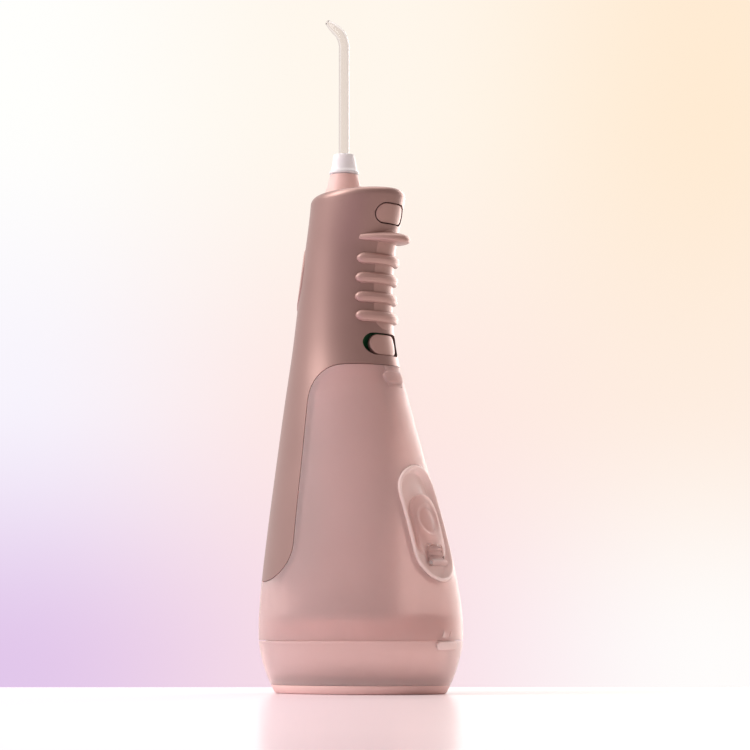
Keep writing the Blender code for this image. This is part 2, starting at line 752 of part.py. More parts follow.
def connecting_rod():
    """A flat link hung under the piston; its lower eye stands beside the crank pin."""
    rod = block("connecting_rod", (-1.2 * MM, JET_Y - 1.6 * MM, 126.0 * MM),
                (0.8 * MM, JET_Y + 1.6 * MM, 138.7 * MM), steel())
    fuse(rod, cylinder("eye", 2.2 * MM, -1.2 * MM, 0.8 * MM, axis="X", at=(JET_Y, ROD_EYE_Z)))
    cut(rod, cylinder("eye_hole", 1.4 * MM, -3.0 * MM, 3.0 * MM, axis="X", at=(JET_Y, ROD_EYE_Z)))
    return hang_on(rod, (0.0, JET_Y, ROD_EYE_Z))


def crown_gear():
    """The toothed disc on a cross shaft, with the crank pin on its inner face."""
    outline = gear_outline(CROWN_TEETH, CROWN_ROOT, CROWN_TIP, CRANK_AXIS)
    gear = prism("crown_gear", outline, 3.5 * MM, 6.0 * MM, "YZ", white_nylon())
    fuse(gear, cylinder("shaft", 1.5 * MM, 5.0 * MM, 11.2 * MM, axis="X", at=CRANK_AXIS),
         cylinder("crank_pin", 1.1 * MM, 1.2 * MM, 4.5 * MM, axis="X", at=(JET_Y, CRANK_Z + CRANK_THROW)))
    return hang_on(gear, (0.0, JET_Y, CRANK_Z))


def gear_bracket():
    bracket = block("gear_bracket", (8.6 * MM, 0.5 * MM, 109.3 * MM), (10.4 * MM, 15.9 * MM, 127.0 * MM),
                    inner_plastic(), 0.4 * MM)
    return cut(bracket, cylinder("shaft_hole", 1.8 * MM, 5.0 * MM, 14.0 * MM, axis="X", at=CRANK_AXIS))


def motor():
    return turned("motor", MOTOR, steel(), JET_AXIS)


def motor_mount():
    mount = core_form("motor_mount", 106.8 * MM, 109.0 * MM, -CORE_WALL - GAP, inner_plastic())
    return cut(mount, cylinder("boss_hole", 4.0 * MM, 100.0 * MM, 115.0 * MM, at=JET_AXIS),
               cylinder("hose_hole", 2.2 * MM, 100.0 * MM, 115.0 * MM, at=SUCTION_XY))


def motor_pinion():
    outline = gear_outline(PINION_TEETH, PINION_ROOT, PINION_TIP, JET_AXIS)
    gear = prism("motor_pinion", outline, PINION_Z, PINION_Z + 5.5 * MM, "XY", brass())
    fuse(gear, cylinder("spindle", 1.0 * MM, 108.4 * MM, 112.0 * MM, at=JET_AXIS))
    return hang_on(gear, (0.0, JET_Y, PINION_Z))


def suction_hose():
    """The hose that lifts water up the core's front corner to the pump."""
    x, y = SUCTION_XY
    points = [(x, y, 28.0 * MM), (x, y, 60.0 * MM), (x, y, 95.0 * MM), (x, y, 122.0 * MM),
              (x + 0.3 * MM, y + 0.6 * MM, 128.0 * MM), (x + 0.8 * MM, y + 2.2 * MM, 133.0 * MM),
              (x + 1.2 * MM, y + 4.4 * MM, 137.0 * MM), (x + 1.4 * MM, y + 6.6 * MM, 141.0 * MM)]
    outer = tube("suction_hose", points, HOSE_RADIUS, seal_rubber())
    ends = [(x, y, 27.0 * MM)] + points[1:-1] + [(x + 1.5 * MM, y + 7.2 * MM, 142.0 * MM)]
    return cut(outer, tube("hose_bore", ends, HOSE_BORE))


# ---------------------------------------------------------------- core, batteries and electronics

def core_casing():
    casing = core_form("core_casing", CORE_BOTTOM_Z + COVER_HEIGHT + GAP, CORE_TOP_Z, 0.0, rose_plastic())
    return cut(casing, core_form("core_bore", CORE_BOTTOM_Z, CORE_TOP_Z + MM, -CORE_WALL))


def battery_cover():
    """The cover that closes the core's lower end, with a lip inside the casing and two screw holes."""
    low = CORE_BOTTOM_Z
    cover = core_form("battery_cover", low, low + COVER_HEIGHT, 0.0, rose_plastic())
    fuse(cover, core_form("lip", low + MM, low + COVER_HEIGHT + 1.2 * MM, -COVER_LIP_INSET))
    for y in SCREW_YS:
        cut(cover, cylinder("screw_hole", 1.3 * MM, low - 4.0 * MM, low + 8.0 * MM, at=(0.0, y)),
            cylinder("head_hole", 2.3 * MM, low - 4.0 * MM, low + 1.5 * MM, at=(0.0, y)))
    return cover


def cover_screw(index):
    low, y = CORE_BOTTOM_Z, SCREW_YS[index]
    screw = turned(f"cover_screw_{index + 1}", COVER_SCREW, steel(), (0.0, y), 16)
    drive = block("drive", (-1.3 * MM, y - 0.2 * MM, low), (1.3 * MM, y + 0.2 * MM, low + 0.6 * MM))
    return cut(screw, drive)


def battery_seal():
    low = CORE_BOTTOM_Z + COVER_HEIGHT + GAP
    ring = core_form("battery_seal", low, low + 0.8 * MM, -CORE_WALL - 0.2 * MM, seal_rubber())
    return cut(ring, core_form("seal_bore", low - MM, low + 2.0 * MM, -COVER_LIP_INSET + GAP))


def battery_cell(index):
    return turned(f"battery_cell_{index + 1}", BATTERY_CELL, cell_sleeve(), CELL_PLACES[index], 16)


def contact_plate(name, low):
    plate = core_form(name, low, low + CONTACT_THICKNESS, -CORE_WALL - 2.0 * MM, brass())
    cut(plate, cylinder("hose_way", 2.4 * MM, low - MM, low + 2.0 * MM, at=SUCTION_XY))
    for y in SCREW_YS:
        cut(plate, cylinder("screw_way", 1.4 * MM, low - MM, low + 2.0 * MM, at=(0.0, y)))
    return plate


def circuit_board():
    return block("circuit_board", *BOARD_CORNERS, board_green())


def switch_block():
    """The small switch on the board, behind the power button."""
    back = BOARD_CORNERS[0][1] - GAP
    low, high = POWER_Z - 2.6 * MM, POWER_Z + 2.6 * MM
    corners = (-3.0 * MM, back - 1.9 * MM, low), (3.0 * MM, back, high)
    return block("switch_block", *corners, inner_plastic(), 0.2 * MM)


# ---------------------------------------------------------------- tank, fill port and base

def tank_form(name, low, inset, mat=None):
    """The tank's block: the body under the shoulder, less the tongue's side and the core's pocket."""
    block_form = body_form(name, low, SHOULDER_Z + MM, inset, mat)
    keep(block_form, tank_side_cutter(-GAP - inset))
    pocket_low = CORE_BOTTOM_Z - GAP - inset
    return cut(block_form, core_form("pocket", pocket_low, SHOULDER_Z + 2.0 * CORE_GAP, GAP + inset))


def tank_shell():
    low = BASE_SEAM_Z + SEAM_HALF_GAP
    shell = tank_form("tank_shell", low, 0.0, frosted_rose())
    cut(shell, tank_form("tank_space", low - 2.0 * MM, TANK_WALL))
    opening = prism("port_opening", pill(*PORT_SIZE, (0.0, PORT_Z), steps=8), -FAR, -20.0 * MM)
    return cut(shell, opening)


def tank_tab():
    """The oval catch at the top of the tank, hung on a low band from its upper edge."""
    tab = surface_pad("tank_tab", pill(*TANK_TAB_SIZE, (0.0, TANK_TAB_Z)), -1.2 * MM, -GAP, frosted_rose())
    half_width, half_height = TANK_BAND_SIZE[0] / 2.0, TANK_BAND_SIZE[1] / 2.0
    low, high = TANK_BAND_Z - half_height, TANK_BAND_Z + half_height
    corners = [(-half_width, low), (half_width, low), (half_width, high), (-half_width, high)]
    return fuse(tab, surface_pad("band", corners, -0.7 * MM, -GAP))


def port_frame():
    """The oval frame in the tank's wall: a bright rim, a sunken floor and the pour hole."""
    outer, inner = (pill(*PORT_SIZE, (0.0, PORT_Z), grow, 8) for grow in (-GAP, -PORT_RIM))
    frame = surface_pad("port_frame", outer, -GAP, PORT_DEPTH, frosted_rose())
    recess = surface_pad("recess", inner, -2.0 * MM, RECESS_DEPTH)
    hole = prism("pour_hole", pill(*POUR_SIZE, (0.0, POUR_Z)), -FAR, -20.0 * MM)
    return cut(frame, recess, hole)


def fill_door():
    """The flap, with the barrel that turns on the pin at its lower end."""
    door = surface_pad("fill_door", pill(*DOOR_SIZE, (0.0, DOOR_Z)), 0.4 * MM, 2.4 * MM, frosted_rose())
    fuse(door, cylinder("barrel", DOOR_BARREL_RADIUS, -5.5 * MM, 5.5 * MM, axis="X", at=DOOR_AXIS, sides=20))
    cut(door, cylinder("pin_hole", DOOR_PIN_RADIUS + GAP, -FAR, FAR, axis="X", at=DOOR_AXIS))
    return hang_on(door, (0.0, *DOOR_AXIS))


def door_plug():
    plug = surface_pad("door_plug", pill(*PLUG_SIZE, (0.0, POUR_Z)), 2.7 * MM, 4.4 * MM, seal_rubber())
    return hang_on(plug, (0.0, *DOOR_AXIS))


def door_pin():
    return cylinder("door_pin", DOOR_PIN_RADIUS, -7.4 * MM, 7.4 * MM, steel(), "X", DOOR_AXIS)


def base_cup():
    """A cup with a spigot that enters the tank, and a notch for the release tab."""
    low = FOOT_HEIGHT + GAP
    high = BASE_SEAM_Z - SEAM_HALF_GAP
    cup = body_form("base_cup", low, high, 0.0, frosted_rose())
    fuse(cup, body_form("spigot", high - 4.0 * MM, SPIGOT_TOP_Z, SPIGOT_INSET))
    cut(cup, body_form("cup_space", low + BASE_FLOOR, SPIGOT_TOP_Z + MM, BASE_WALL))
    return cut(cup, prism("tab_notch", pill(*BASE_TAB_SIZE, (0.0, BASE_TAB_Z), GAP), -FAR, -39.9 * MM))


def base_latch_tab():
    outline = pill(*BASE_TAB_SIZE, (0.0, BASE_TAB_Z))
    return surface_pad("base_latch_tab", outline, 0.1 * MM, 1.6 * MM, frosted_rose())


def base_seal():
    low, high = SEAL_ZS
    return body_shell("base_seal", low, high, TANK_WALL + 0.4 * MM, TANK_WALL + 0.8 * MM, seal_rubber())


def foot_pad():
    return body_form("foot_pad", 0.0, FOOT_HEIGHT, 0.0, seal_rubber())


# ---------------------------------------------------------------- assembly

def build():
    clear_scene()
    main_housing()
    grip_strip()
    finger_flange()
    for index in range(len(RIB_ZS)):
        grip_rib(index)
    back_pad()
    eject_button()
    power_button()
    latch_plate()
    eject_spring()
    tip_socket()
    rotation_knob()
    tip_ring()
    jet_tube()
    jet_nozzle()
    pump_cylinder()
    outlet_valve()
    outlet_hose()
    piston()
    piston_seal()
    connecting_rod()
    crown_gear()
    gear_bracket()
    motor()
    motor_mount()
    motor_pinion()
    suction_hose()
    core_casing()
    battery_cover()
    for index in range(len(SCREW_YS)):
        cover_screw(index)
    battery_seal()
    for index in range(len(CELL_PLACES)):
        battery_cell(index)
    for level, low in zip(("lower", "upper"), CONTACT_ZS):
        contact_plate(f"contact_plate_{level}", low)
    circuit_board()
    switch_block()
    tank_shell()
    tank_tab()
    port_frame()
    fill_door()
    door_plug()
    door_pin()
    base_cup()
    base_latch_tab()
    base_seal()
    foot_pad()


build()
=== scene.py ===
"""Looks of the cordless water flosser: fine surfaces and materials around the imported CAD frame."""

import json
import math

import bmesh
import bpy
from mathutils import Matrix, Vector


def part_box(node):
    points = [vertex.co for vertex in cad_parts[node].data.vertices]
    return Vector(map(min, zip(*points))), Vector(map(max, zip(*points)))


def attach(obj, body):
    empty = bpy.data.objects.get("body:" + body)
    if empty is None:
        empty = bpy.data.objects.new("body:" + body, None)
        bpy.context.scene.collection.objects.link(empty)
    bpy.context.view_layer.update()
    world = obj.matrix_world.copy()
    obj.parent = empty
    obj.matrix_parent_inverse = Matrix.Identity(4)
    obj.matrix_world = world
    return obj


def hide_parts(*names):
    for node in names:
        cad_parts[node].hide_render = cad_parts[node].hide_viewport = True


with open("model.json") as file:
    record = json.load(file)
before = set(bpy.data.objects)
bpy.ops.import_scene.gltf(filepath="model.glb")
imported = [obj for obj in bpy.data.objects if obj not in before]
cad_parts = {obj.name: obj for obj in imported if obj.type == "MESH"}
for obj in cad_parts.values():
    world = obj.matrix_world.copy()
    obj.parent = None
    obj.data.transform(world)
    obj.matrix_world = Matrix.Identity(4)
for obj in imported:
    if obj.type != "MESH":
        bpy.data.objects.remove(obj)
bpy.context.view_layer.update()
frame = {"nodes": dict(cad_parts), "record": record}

MM = 0.001

# The body's outer form, as the frame has it: height, front reach, back reach, half width, in mm.
BODY_STATIONS = (
    (0.0, 36.0, 36.0, 27.7),
    (3.0, 37.6, 37.6, 28.9),
    (10.0, 40.6, 40.6, 31.2),
    (20.0, 42.9, 42.9, 33.0),
    (36.0, 41.9, 42.5, 32.6),
    (60.0, 36.2, 40.0, 29.5),
    (90.0, 26.4, 36.1, 24.7),
    (114.0, 18.9, 32.7, 21.0),
    (133.0, 13.8, 29.8, 18.1),
    (152.0, 12.2, 27.2, 16.6),
    (172.0, 13.9, 23.9, 16.1),
    (187.0, 17.7, 21.3, 16.5),
    (193.0, 19.3, 20.7, 16.7),
)
MERGE_DISTANCE = 0.002 * MM
SLOPE_STEP = 0.2 * MM
BODY_TOP = 193.0 * MM
GAP = 0.3 * MM
FAR = 80.0 * MM
TOP_ROUND = 3.0 * MM
TOP_SLOPE = 0.047
TOP_RISE = 1.4 * MM
TOP_BLEND_Z = 177.0 * MM
FINE_SIDES = 160
FINE_ROW = 1.5 * MM
COARSE_SIDES = 80
COARSE_ROW = 4.0 * MM
EDGE_STEPS = 8
PAD_EDGE_STEPS = 6
# The last ring of a pad is drawn in to this width, in mm.
CLOSING = 0.001

# How the body is divided.
SHOULDER_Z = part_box("tank_shell")[1].z + 0.3 * MM
SEAM_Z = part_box("tank_shell")[0].z - 0.15 * MM
TONGUE_Y = 9.0 * MM
TONGUE_BOTTOM_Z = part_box("main_housing")[0].z
SHOULDER_RADIUS = 14.0 * MM
TONGUE_CORNER_Y = 19.0 * MM
TONGUE_CORNER_Z = 14.0 * MM
HOUSING_WALL = 2.0 * MM
TANK_WALL = 1.8 * MM

CORE_LOW, CORE_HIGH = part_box("core_casing")
CORE_Y = (CORE_LOW.y + CORE_HIGH.y) / 2.0
CORE_REACH = (CORE_HIGH.y - CORE_LOW.y) / 2.0
CORE_HALF_WIDTH = (CORE_HIGH.x - CORE_LOW.x) / 2.0
CORE_BOTTOM_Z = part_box("battery_cover")[0].z

RING_LOW, RING_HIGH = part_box("tip_ring")
JET_Y = (RING_LOW.y + RING_HIGH.y) / 2.0


# ---------------------------------------------------------------- node materials

# Each finish: colour, roughness, metallic, then its grain (scale, depth, colour shift, roughness shift)
# and any other sockets of the shader.
FINISHES = {
    "rose_plastic": ((0.335, 0.212, 0.190), 0.38, 0.6, (900.0, 0.12, 0.03, 0.04), ()),
    "rose_grip": ((0.43, 0.272, 0.240), 0.42, 0.3, (900.0, 0.10, 0.03, 0.04), ()),
    "pearl_rose": ((0.97, 0.67, 0.62), 0.42, 0.0, (900.0, 0.08, 0.03, 0.04),
                   (("IOR", 1.4), ("Transmission Weight", 0.35))),
    "frosted_rose": ((0.94, 0.755, 0.725), 0.45, 0.0, (700.0, 0.10, 0.02, 0.04),
                     (("IOR", 1.25), ("Transmission Weight", 0.75), ("Sheen Weight", 0.1))),
    # A paler, less clear copy of frosted_rose: painted light on the fill port's rim, the base tab and the
    # marks.
    "frosted_rose_painted_light": ((1.0, 0.80, 0.765), 0.35, 0.0, (700.0, 0.08, 0.02, 0.04),
                 (("IOR", 1.4), ("Transmission Weight", 0.25))),
    # A paler copy of rose_plastic for the core behind the tank: painted light.
    "rose_plastic_painted_light": ((0.62, 0.40, 0.37), 0.5, 0.0, (900.0, 0.1, 0.03, 0.04), ()),
    "pale_nylon": ((0.99, 0.98, 0.99), 0.40, 0.0, (700.0, 0.05, 0.01, 0.03),
                   (("Transmission Weight", 0.45),)),
    "clear_plastic": ((0.90, 0.87, 0.83), 0.05, 0.0, (300.0, 0.0, 0.0, 0.01),
                      (("IOR", 1.22), ("Transmission Weight", 1.0))),
    "seal_rubber": ((0.80, 0.54, 0.50), 0.60, 0.0, (600.0, 0.2, 0.05, 0.05), ()),
    "inner_plastic": ((0.30, 0.21, 0.19), 0.5, 0.0, (600.0, 0.2, 0.04, 0.05), ()),
    "white_nylon": ((0.80, 0.80, 0.77), 0.4, 0.0, (600.0, 0.1, 0.02, 0.05), ()),
    "steel": ((0.62, 0.62, 0.63), 0.28, 1.0, (1500.0, 0.1, 0.03, 0.08), ()),
    "motor_steel": ((0.55, 0.55, 0.56), 0.35, 1.0, (1500.0, 0.1, 0.03, 0.08), ()),
    "brass": ((0.72, 0.52, 0.26), 0.3, 1.0, (1500.0, 0.1, 0.04, 0.08), ()),
    "board_green": ((0.03, 0.2, 0.08), 0.45, 0.0, (900.0, 0.2, 0.1, 0.05), ()),
    "cell_sleeve": ((0.10, 0.11, 0.13), 0.35, 0.0, (900.0, 0.1, 0.05, 0.05), ()),
}
GRAIN_DETAIL = 3.0
GRAIN_DISTANCE = 0.05 * MM
CLOUD_SCALE = 40.0
CLOUD_ENDS = (0.3, 0.7)


def new_material(name, colour, roughness, metallic=0.0, sockets=()):
    """A plain shader in one colour, with any other sockets set on the shader itself."""
    mat = bpy.data.materials.new(name)
    mat.use_nodes = True
    shader = mat.node_tree.nodes["Principled BSDF"]
    shader.inputs["Base Color"].default_value = (*colour, 1.0)
    shader.inputs["Roughness"].default_value = roughness
    shader.inputs["Metallic"].default_value = metallic
    for socket, value in sockets:
        shader.inputs[socket].default_value = value
    return mat


def add_bump(nodes, links, place, scale, strength):
    """Fine noise on the bump."""
    noise = nodes.new("ShaderNodeTexNoise")
    noise.inputs["Scale"].default_value = scale
    noise.inputs["Detail"].default_value = GRAIN_DETAIL
    bump = nodes.new("ShaderNodeBump")
    bump.inputs["Strength"].default_value = strength
    bump.inputs["Distance"].default_value = GRAIN_DISTANCE
    links.new(place.outputs["Object"], noise.inputs["Vector"])
    links.new(noise.outputs["Fac"], bump.inputs["Height"])
    links.new(bump.outputs["Normal"], nodes["Principled BSDF"].inputs["Normal"])


def add_colour_cloud(nodes, links, cloud, shift):
    """A slow, slight change of the base colour."""
    shader = nodes["Principled BSDF"]
    base = shader.inputs["Base Color"].default_value[:3]
    ramp = nodes.new("ShaderNodeValToRGB")
    for element, position, sign in zip(ramp.color_ramp.elements, CLOUD_ENDS, (-1.0, 1.0)):
        element.position = position
        element.color = (*[min(1.0, part * (1.0 + sign * shift)) for part in base], 1.0)
    links.new(cloud.outputs["Fac"], ramp.inputs["Fac"])
    links.new(ramp.outputs["Color"], shader.inputs["Base Color"])


def add_rough_cloud(nodes, links, cloud, shift):
    """A slow, slight change of the roughness."""
    shader = nodes["Principled BSDF"]
    rough = shader.inputs["Roughness"].default_value
    spread = nodes.new("ShaderNodeMapRange")
    spread.inputs["To Min"].default_value = max(0.0, rough - shift)
    spread.inputs["To Max"].default_value = min(1.0, rough + shift)
    links.new(cloud.outputs["Fac"], spread.inputs["Value"])
    links.new(spread.outputs["Result"], shader.inputs["Roughness"])


def add_grain(mat, scale, strength, colour_shift, rough_shift):
    """Fine moulded grain: noise on the bump, and a little on the colour and the roughness."""
    nodes, links = mat.node_tree.nodes, mat.node_tree.links
    place = nodes.new("ShaderNodeTexCoord")
    if strength:
        add_bump(nodes, links, place, scale, strength)
    cloud = nodes.new("ShaderNodeTexNoise")
    cloud.inputs["Scale"].default_value = CLOUD_SCALE
    links.new(place.outputs["Object"], cloud.inputs["Vector"])
    if colour_shift:
        add_colour_cloud(nodes, links, cloud, colour_shift)
    add_rough_cloud(nodes, links, cloud, rough_shift)
    return mat


def make_materials():
    """Every finish of the table, by name."""
    made = {}
    for name, (colour, roughness, metallic, grain, sockets) in FINISHES.items():
        made[name] = add_grain(new_material(name, colour, roughness, metallic, sockets), *grain)
    return made


MATERIALS = make_materials()


# ---------------------------------------------------------------- building blocks

def finish(obj, slot, body, replaced=(), sharp=35.0, look=None):
    """Give a piece the material of its slot, or of look when one is given, and its body; hide the CAD nodes
    it stands for.
    """
    obj.data.materials.clear()
    obj.data.materials.append(MATERIALS[look or slot])
    obj.data.shade_smooth()
    obj.data.set_sharp_from_angle(angle=math.radians(sharp))
    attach(obj, body)
    if replaced:
        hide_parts(*replaced)
    return obj


def from_bmesh(bm, name):
    """A linked object made from a mesh under construction, with its faces turned outwards."""
    bmesh.ops.remove_doubles(bm, verts=bm.verts, dist=MERGE_DISTANCE)
    bmesh.ops.recalc_face_normals(bm, faces=bm.faces)
    mesh = bpy.data.meshes.new(name)
    bm.to_mesh(mesh)
    bm.free()
    obj = bpy.data.objects.new(name, mesh)
    bpy.context.scene.collection.objects.link(obj)
    return obj


def bake(obj):
    """Replace the object's mesh by the result of its modifiers."""
    bpy.context.view_layer.update()
    mesh = bpy.data.meshes.new_from_object(obj.evaluated_get(bpy.context.evaluated_depsgraph_get()))
    obj.modifiers.clear()
    old = obj.data
    obj.data = mesh
    bpy.data.meshes.remove(old)
    return obj


def boolean(target, cutter, operation):
    """Apply one exact boolean and remove the cutter."""
    mod = target.modifiers.new(operation.lower(), "BOOLEAN")
    mod.operation = operation
    mod.solver = "EXACT"
    mod.object = cutter
    bake(target)
    bpy.data.objects.remove(cutter, do_unlink=True)
    return target


def cut(target, *cutters):
    """Take each cutter away from the target."""
    for cutter in cutters:
        boolean(target, cutter, "DIFFERENCE")
    return target


def keep(target, cutter):
    """Keep only what lies inside the cutter."""
    return boolean(target, cutter, "INTERSECT")


def skin_rings(name, rings, closed=False, capped=True):
    """Skin a stack of rings of equal counts; closed joins the last ring to the first."""
    bm = bmesh.new()
    made = [[bm.verts.new(point) for point in ring] for ring in rings]
    pairs = list(zip(made, made[1:]))
    if closed:
        pairs.append((made[-1], made[0]))
    for lower, upper in pairs:
        for side in range(len(lower)):
            after = (side + 1) % len(lower)
            bm.faces.new((lower[side], lower[after], upper[after], upper[side]))
    if capped and not closed:
        bm.faces.new(reversed(made[0]))
        bm.faces.new(made[-1])
    return from_bmesh(bm, name)


def turned(name, profile, at=(0.0, 0.0), sides=64):
    """A turned solid from (radius, height) points in mm that run round its closed section."""
    rings = []
    for radius, height in profile:
        rings.append([Vector((at[0] + radius * MM * math.cos(turn), at[1] + radius * MM * math.sin(turn),
                              height * MM))
                      for turn in (2.0 * math.pi * side / sides for side in range(sides))])
    return skin_rings(name, rings, closed=True)


PLANES = {
    "XZ": Matrix(((1, 0, 0, 0), (0, 0, -1, 0), (0, 1, 0, 0), (0, 0, 0, 1))),
    "YZ": Matrix(((0, 0, 1, 0), (1, 0, 0, 0), (0, 1, 0, 0), (0, 0, 0, 1))),
}


def prism(name, outline, low, high, plane="XZ"):
    """A flat outline drawn out between two places along the axis that its plane leaves free."""
    matrix = PLANES[plane]
    rings = [[matrix @ Vector((u, v, -place if plane == "XZ" else place)) for u, v in outline]
             for place in (low, high)]
    return skin_rings(name, rings)


def arc(centre, radius_u, radius_v, start, end, steps):
    """Points round an elliptical arc between two angles in degrees."""
    return [(centre[0] + radius_u * math.cos(math.radians(start + (end - start) * step / steps)),
             centre[1] + radius_v * math.sin(math.radians(start + (end - start) * step / steps)))
            for step in range(steps + 1)]


def pill(width, height, at=(0.0, 0.0), arc_steps=16, run_steps=12):
    """A slot outline with round ends along its longer side, with points along its straight runs."""
    radius = min(width, height) / 2.0
    run_u, run_v = width / 2.0 - radius, height / 2.0 - radius
    wide = width >= height
    first = -90.0 if wide else 0.0
    points = []
    for sign, start in ((1.0, first), (-1.0, first + 180.0)):
        centre = (at[0] + sign * run_u, at[1] + sign * run_v)
        points += arc(centre, radius, radius, start, start + 180.0, arc_steps)
        end = points[-1]
        for step in range(1, run_steps):
            back = 2.0 * sign * step / run_steps
            points.append((end[0] - back * run_u, end[1] - back * run_v))
    return points


# ---------------------------------------------------------------- the body's form

def station_value(z_mm, column):
    """A smooth curve through the stations: cubic spans with the mean of the slopes either side."""
    rows = BODY_STATIONS

    def slope(index):
        low, high = rows[max(index - 1, 0)], rows[min(index + 1, len(rows) - 1)]
        return (high[column] - low[column]) / (high[0] - low[0])

    span = 0
    while span < len(rows) - 2 and z_mm > rows[span + 1][0]:
        span += 1
    low, high = rows[span], rows[span + 1]
    width = high[0] - low[0]
    t = min(max((z_mm - low[0]) / width, 0.0), 1.0)
    return ((2 * t ** 3 - 3 * t ** 2 + 1) * low[column] + (t ** 3 - 2 * t ** 2 + t) * width * slope(span)
            + (3 * t ** 2 - 2 * t ** 3) * high[column] + (t ** 3 - t ** 2) * width * slope(span + 1))


def body_ellipse(z):
    """Middle in Y, half length and half width of the body at a height."""
    front, back, half_width = (station_value(z / MM, column) * MM for column in (1, 2, 3))
    return (back - front) / 2.0, (back + front) / 2.0, half_width


def top_lift(z):
    """How far a height takes part in the sloping top: none at the blend, all of it at the top."""
    t = min(max((z - TOP_BLEND_Z) / (BODY_TOP - TOP_BLEND_Z), 0.0), 1.0)
    return t * t * (3.0 - 2.0 * t)


def body_ring(z, inset, sides):
    """One ring of the body, drawn in by inset; near the top the rings slope up towards the front."""
    middle, length, width = body_ellipse(z)
    ring = [Vector(((width - inset) * math.sin(turn), middle - (length - inset) * math.cos(turn), z))
            for turn in (2.0 * math.pi * side / sides for side in range(sides))]
    for point in ring:
        point.z += top_lift(z) * (TOP_RISE - TOP_SLOPE * point.y)
    return ring


def body_form(name, low, high, inset=0.0, sides=FINE_SIDES, row=FINE_ROW):
    """The body between two heights, drawn in by inset; its top edge is rounded where it is reached."""
    top = BODY_TOP - inset
    end = min(high, top - TOP_ROUND) if high >= top else high
    count = max(1, math.ceil((end - low) / row))
    rings = [body_ring(low + (end - low) * index / count, inset, sides) for index in range(count + 1)]
    if high >= top:
        for step in range(1, EDGE_STEPS + 1):
            turn = math.radians(90.0 * step / EDGE_STEPS)
            z = top - TOP_ROUND + TOP_ROUND * math.sin(turn)
            rings.append(body_ring(z, inset + TOP_ROUND * (1.0 - math.cos(turn)), sides))
    return skin_rings(name, rings)


def on_skin(u, z, raised=0.0, side=-1.0):
    """The point of the body's front or back skin at x = u and height z, raised along its normal."""
    def level(x, y, height):
        middle, length, width = body_ellipse(height - top_lift(height) * (TOP_RISE - TOP_SLOPE * y))
        return (x / width) ** 2 + ((y - middle) / length) ** 2

    y = 0.0
    for _ in range(3):
        middle, length, width = body_ellipse(z - top_lift(z) * (TOP_RISE - TOP_SLOPE * y))
        y = middle + side * length * math.sqrt(max(0.0, 1.0 - (u / width) ** 2))
    slope_z = (level(u, y, z + SLOPE_STEP) - level(u, y, z - SLOPE_STEP)) / (2.0 * SLOPE_STEP)
    normal = Vector((2.0 * u / width ** 2, 2.0 * (y - middle) / length ** 2, slope_z)).normalized()
    return Vector((u, y, z)) + normal * raised


def core_form(name, low, high, grow=0.0, sides=COARSE_SIDES):
    """The core column between two heights, an oval grown by a margin."""
    turns = [2.0 * math.pi * side / sides for side in range(sides)]
    across, along = CORE_HALF_WIDTH + grow, CORE_REACH + grow
    rings = [[Vector((across * math.cos(turn), CORE_Y + along * math.sin(turn), z)) for turn in turns]
             for z in (low, high)]
    return skin_rings(name, rings)


def tank_side(grow):
    """The tank's outline from the side: under the head's shoulder and round the tongue."""
    shoulder, wall, bottom = SHOULDER_Z + grow, TONGUE_Y + grow, TONGUE_BOTTOM_Z + grow
    radius = SHOULDER_RADIUS + grow
    corner_y, corner_z = TONGUE_CORNER_Y - grow, TONGUE_CORNER_Z - grow
    points = [(-FAR, -FAR), (-FAR, shoulder)]
    points += arc((wall - radius, shoulder - radius), radius, radius, 90.0, 0.0, 20)
    points += arc((wall + corner_y, bottom + corner_z), corner_y, corner_z, 180.0, 270.0, 20)
    return points + [(FAR, bottom), (FAR, -FAR)]


def tank_side_cutter(grow):
    """The tank's side outline drawn out through the whole width."""
    return prism("tank_side", tank_side(grow), -FAR, FAR, "YZ")


def skin_pad(name, rings, closed=False, side=-1.0):
    """A piece laid on the body's skin: each ring is (width, height, middle z, raised), in mm."""
    laid = [[on_skin(u, v, raised * MM, side) for u, v in pill(width * MM, height * MM, (0.0, z * MM))]
            for width, height, z, raised in rings]
    return skin_rings(name, laid, closed=closed, capped=False)


def rounded_edge(width, height, z, proud, edge):
    """Rings of a quarter-round edge that ends at proud, in mm."""
    rings = []
    for step in range(PAD_EDGE_STEPS + 1):
        turn = math.radians(90.0 * step / PAD_EDGE_STEPS)
        inset = edge * (1.0 - math.cos(turn))
        rings.append((width - 2.0 * inset, height - 2.0 * inset, z, proud - edge + edge * math.sin(turn)))
    return rings


def crowned_pad(name, width, height, z, sunk, proud, edge, crown=0.0, side=-1.0):
    """A round-ended pad: walls up from sunk to proud, a rounded edge, and a crowned or dished top."""
    thin = min(width, height) / 2.0
    rings = [(width - 2.0 * thin + CLOSING, height - 2.0 * thin + CLOSING, z, sunk), (width, height, z, sunk)]
    rings += rounded_edge(width, height, z, proud, edge)
    for step in range(1, EDGE_STEPS + 1):
        inset = edge + (thin - edge) * step / EDGE_STEPS
        lift = crown * math.sin(math.pi / 2.0 * step / EDGE_STEPS)
        rings.append((width - 2.0 * inset + CLOSING, height - 2.0 * inset + CLOSING, z, proud + lift))
    return skin_pad(name, rings, side=side)


# ---------------------------------------------------------------- head, tongue and grip

def centre_of(node):
    """Middle of a CAD node's box."""
    low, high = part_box(node)
    return (low + high) / 2.0


EJECT_Z = centre_of("eject_button").z / MM
POWER_Z = centre_of("power_button").z / MM
EJECT_SIZE = (16.0, 7.5)
EJECT_HOLE = (16.8, 8.3)
POWER_SIZE = (15.8, 8.0)
POWER_HOLE = (20.6, 8.8)
RIB_SIZE = (23.0, 4.3)
BACK_PAD_SIZE = (24.0, 30.0)
STRIP_WIDTH = 11.0
HOLE_INNER_Y = -6.0 * MM
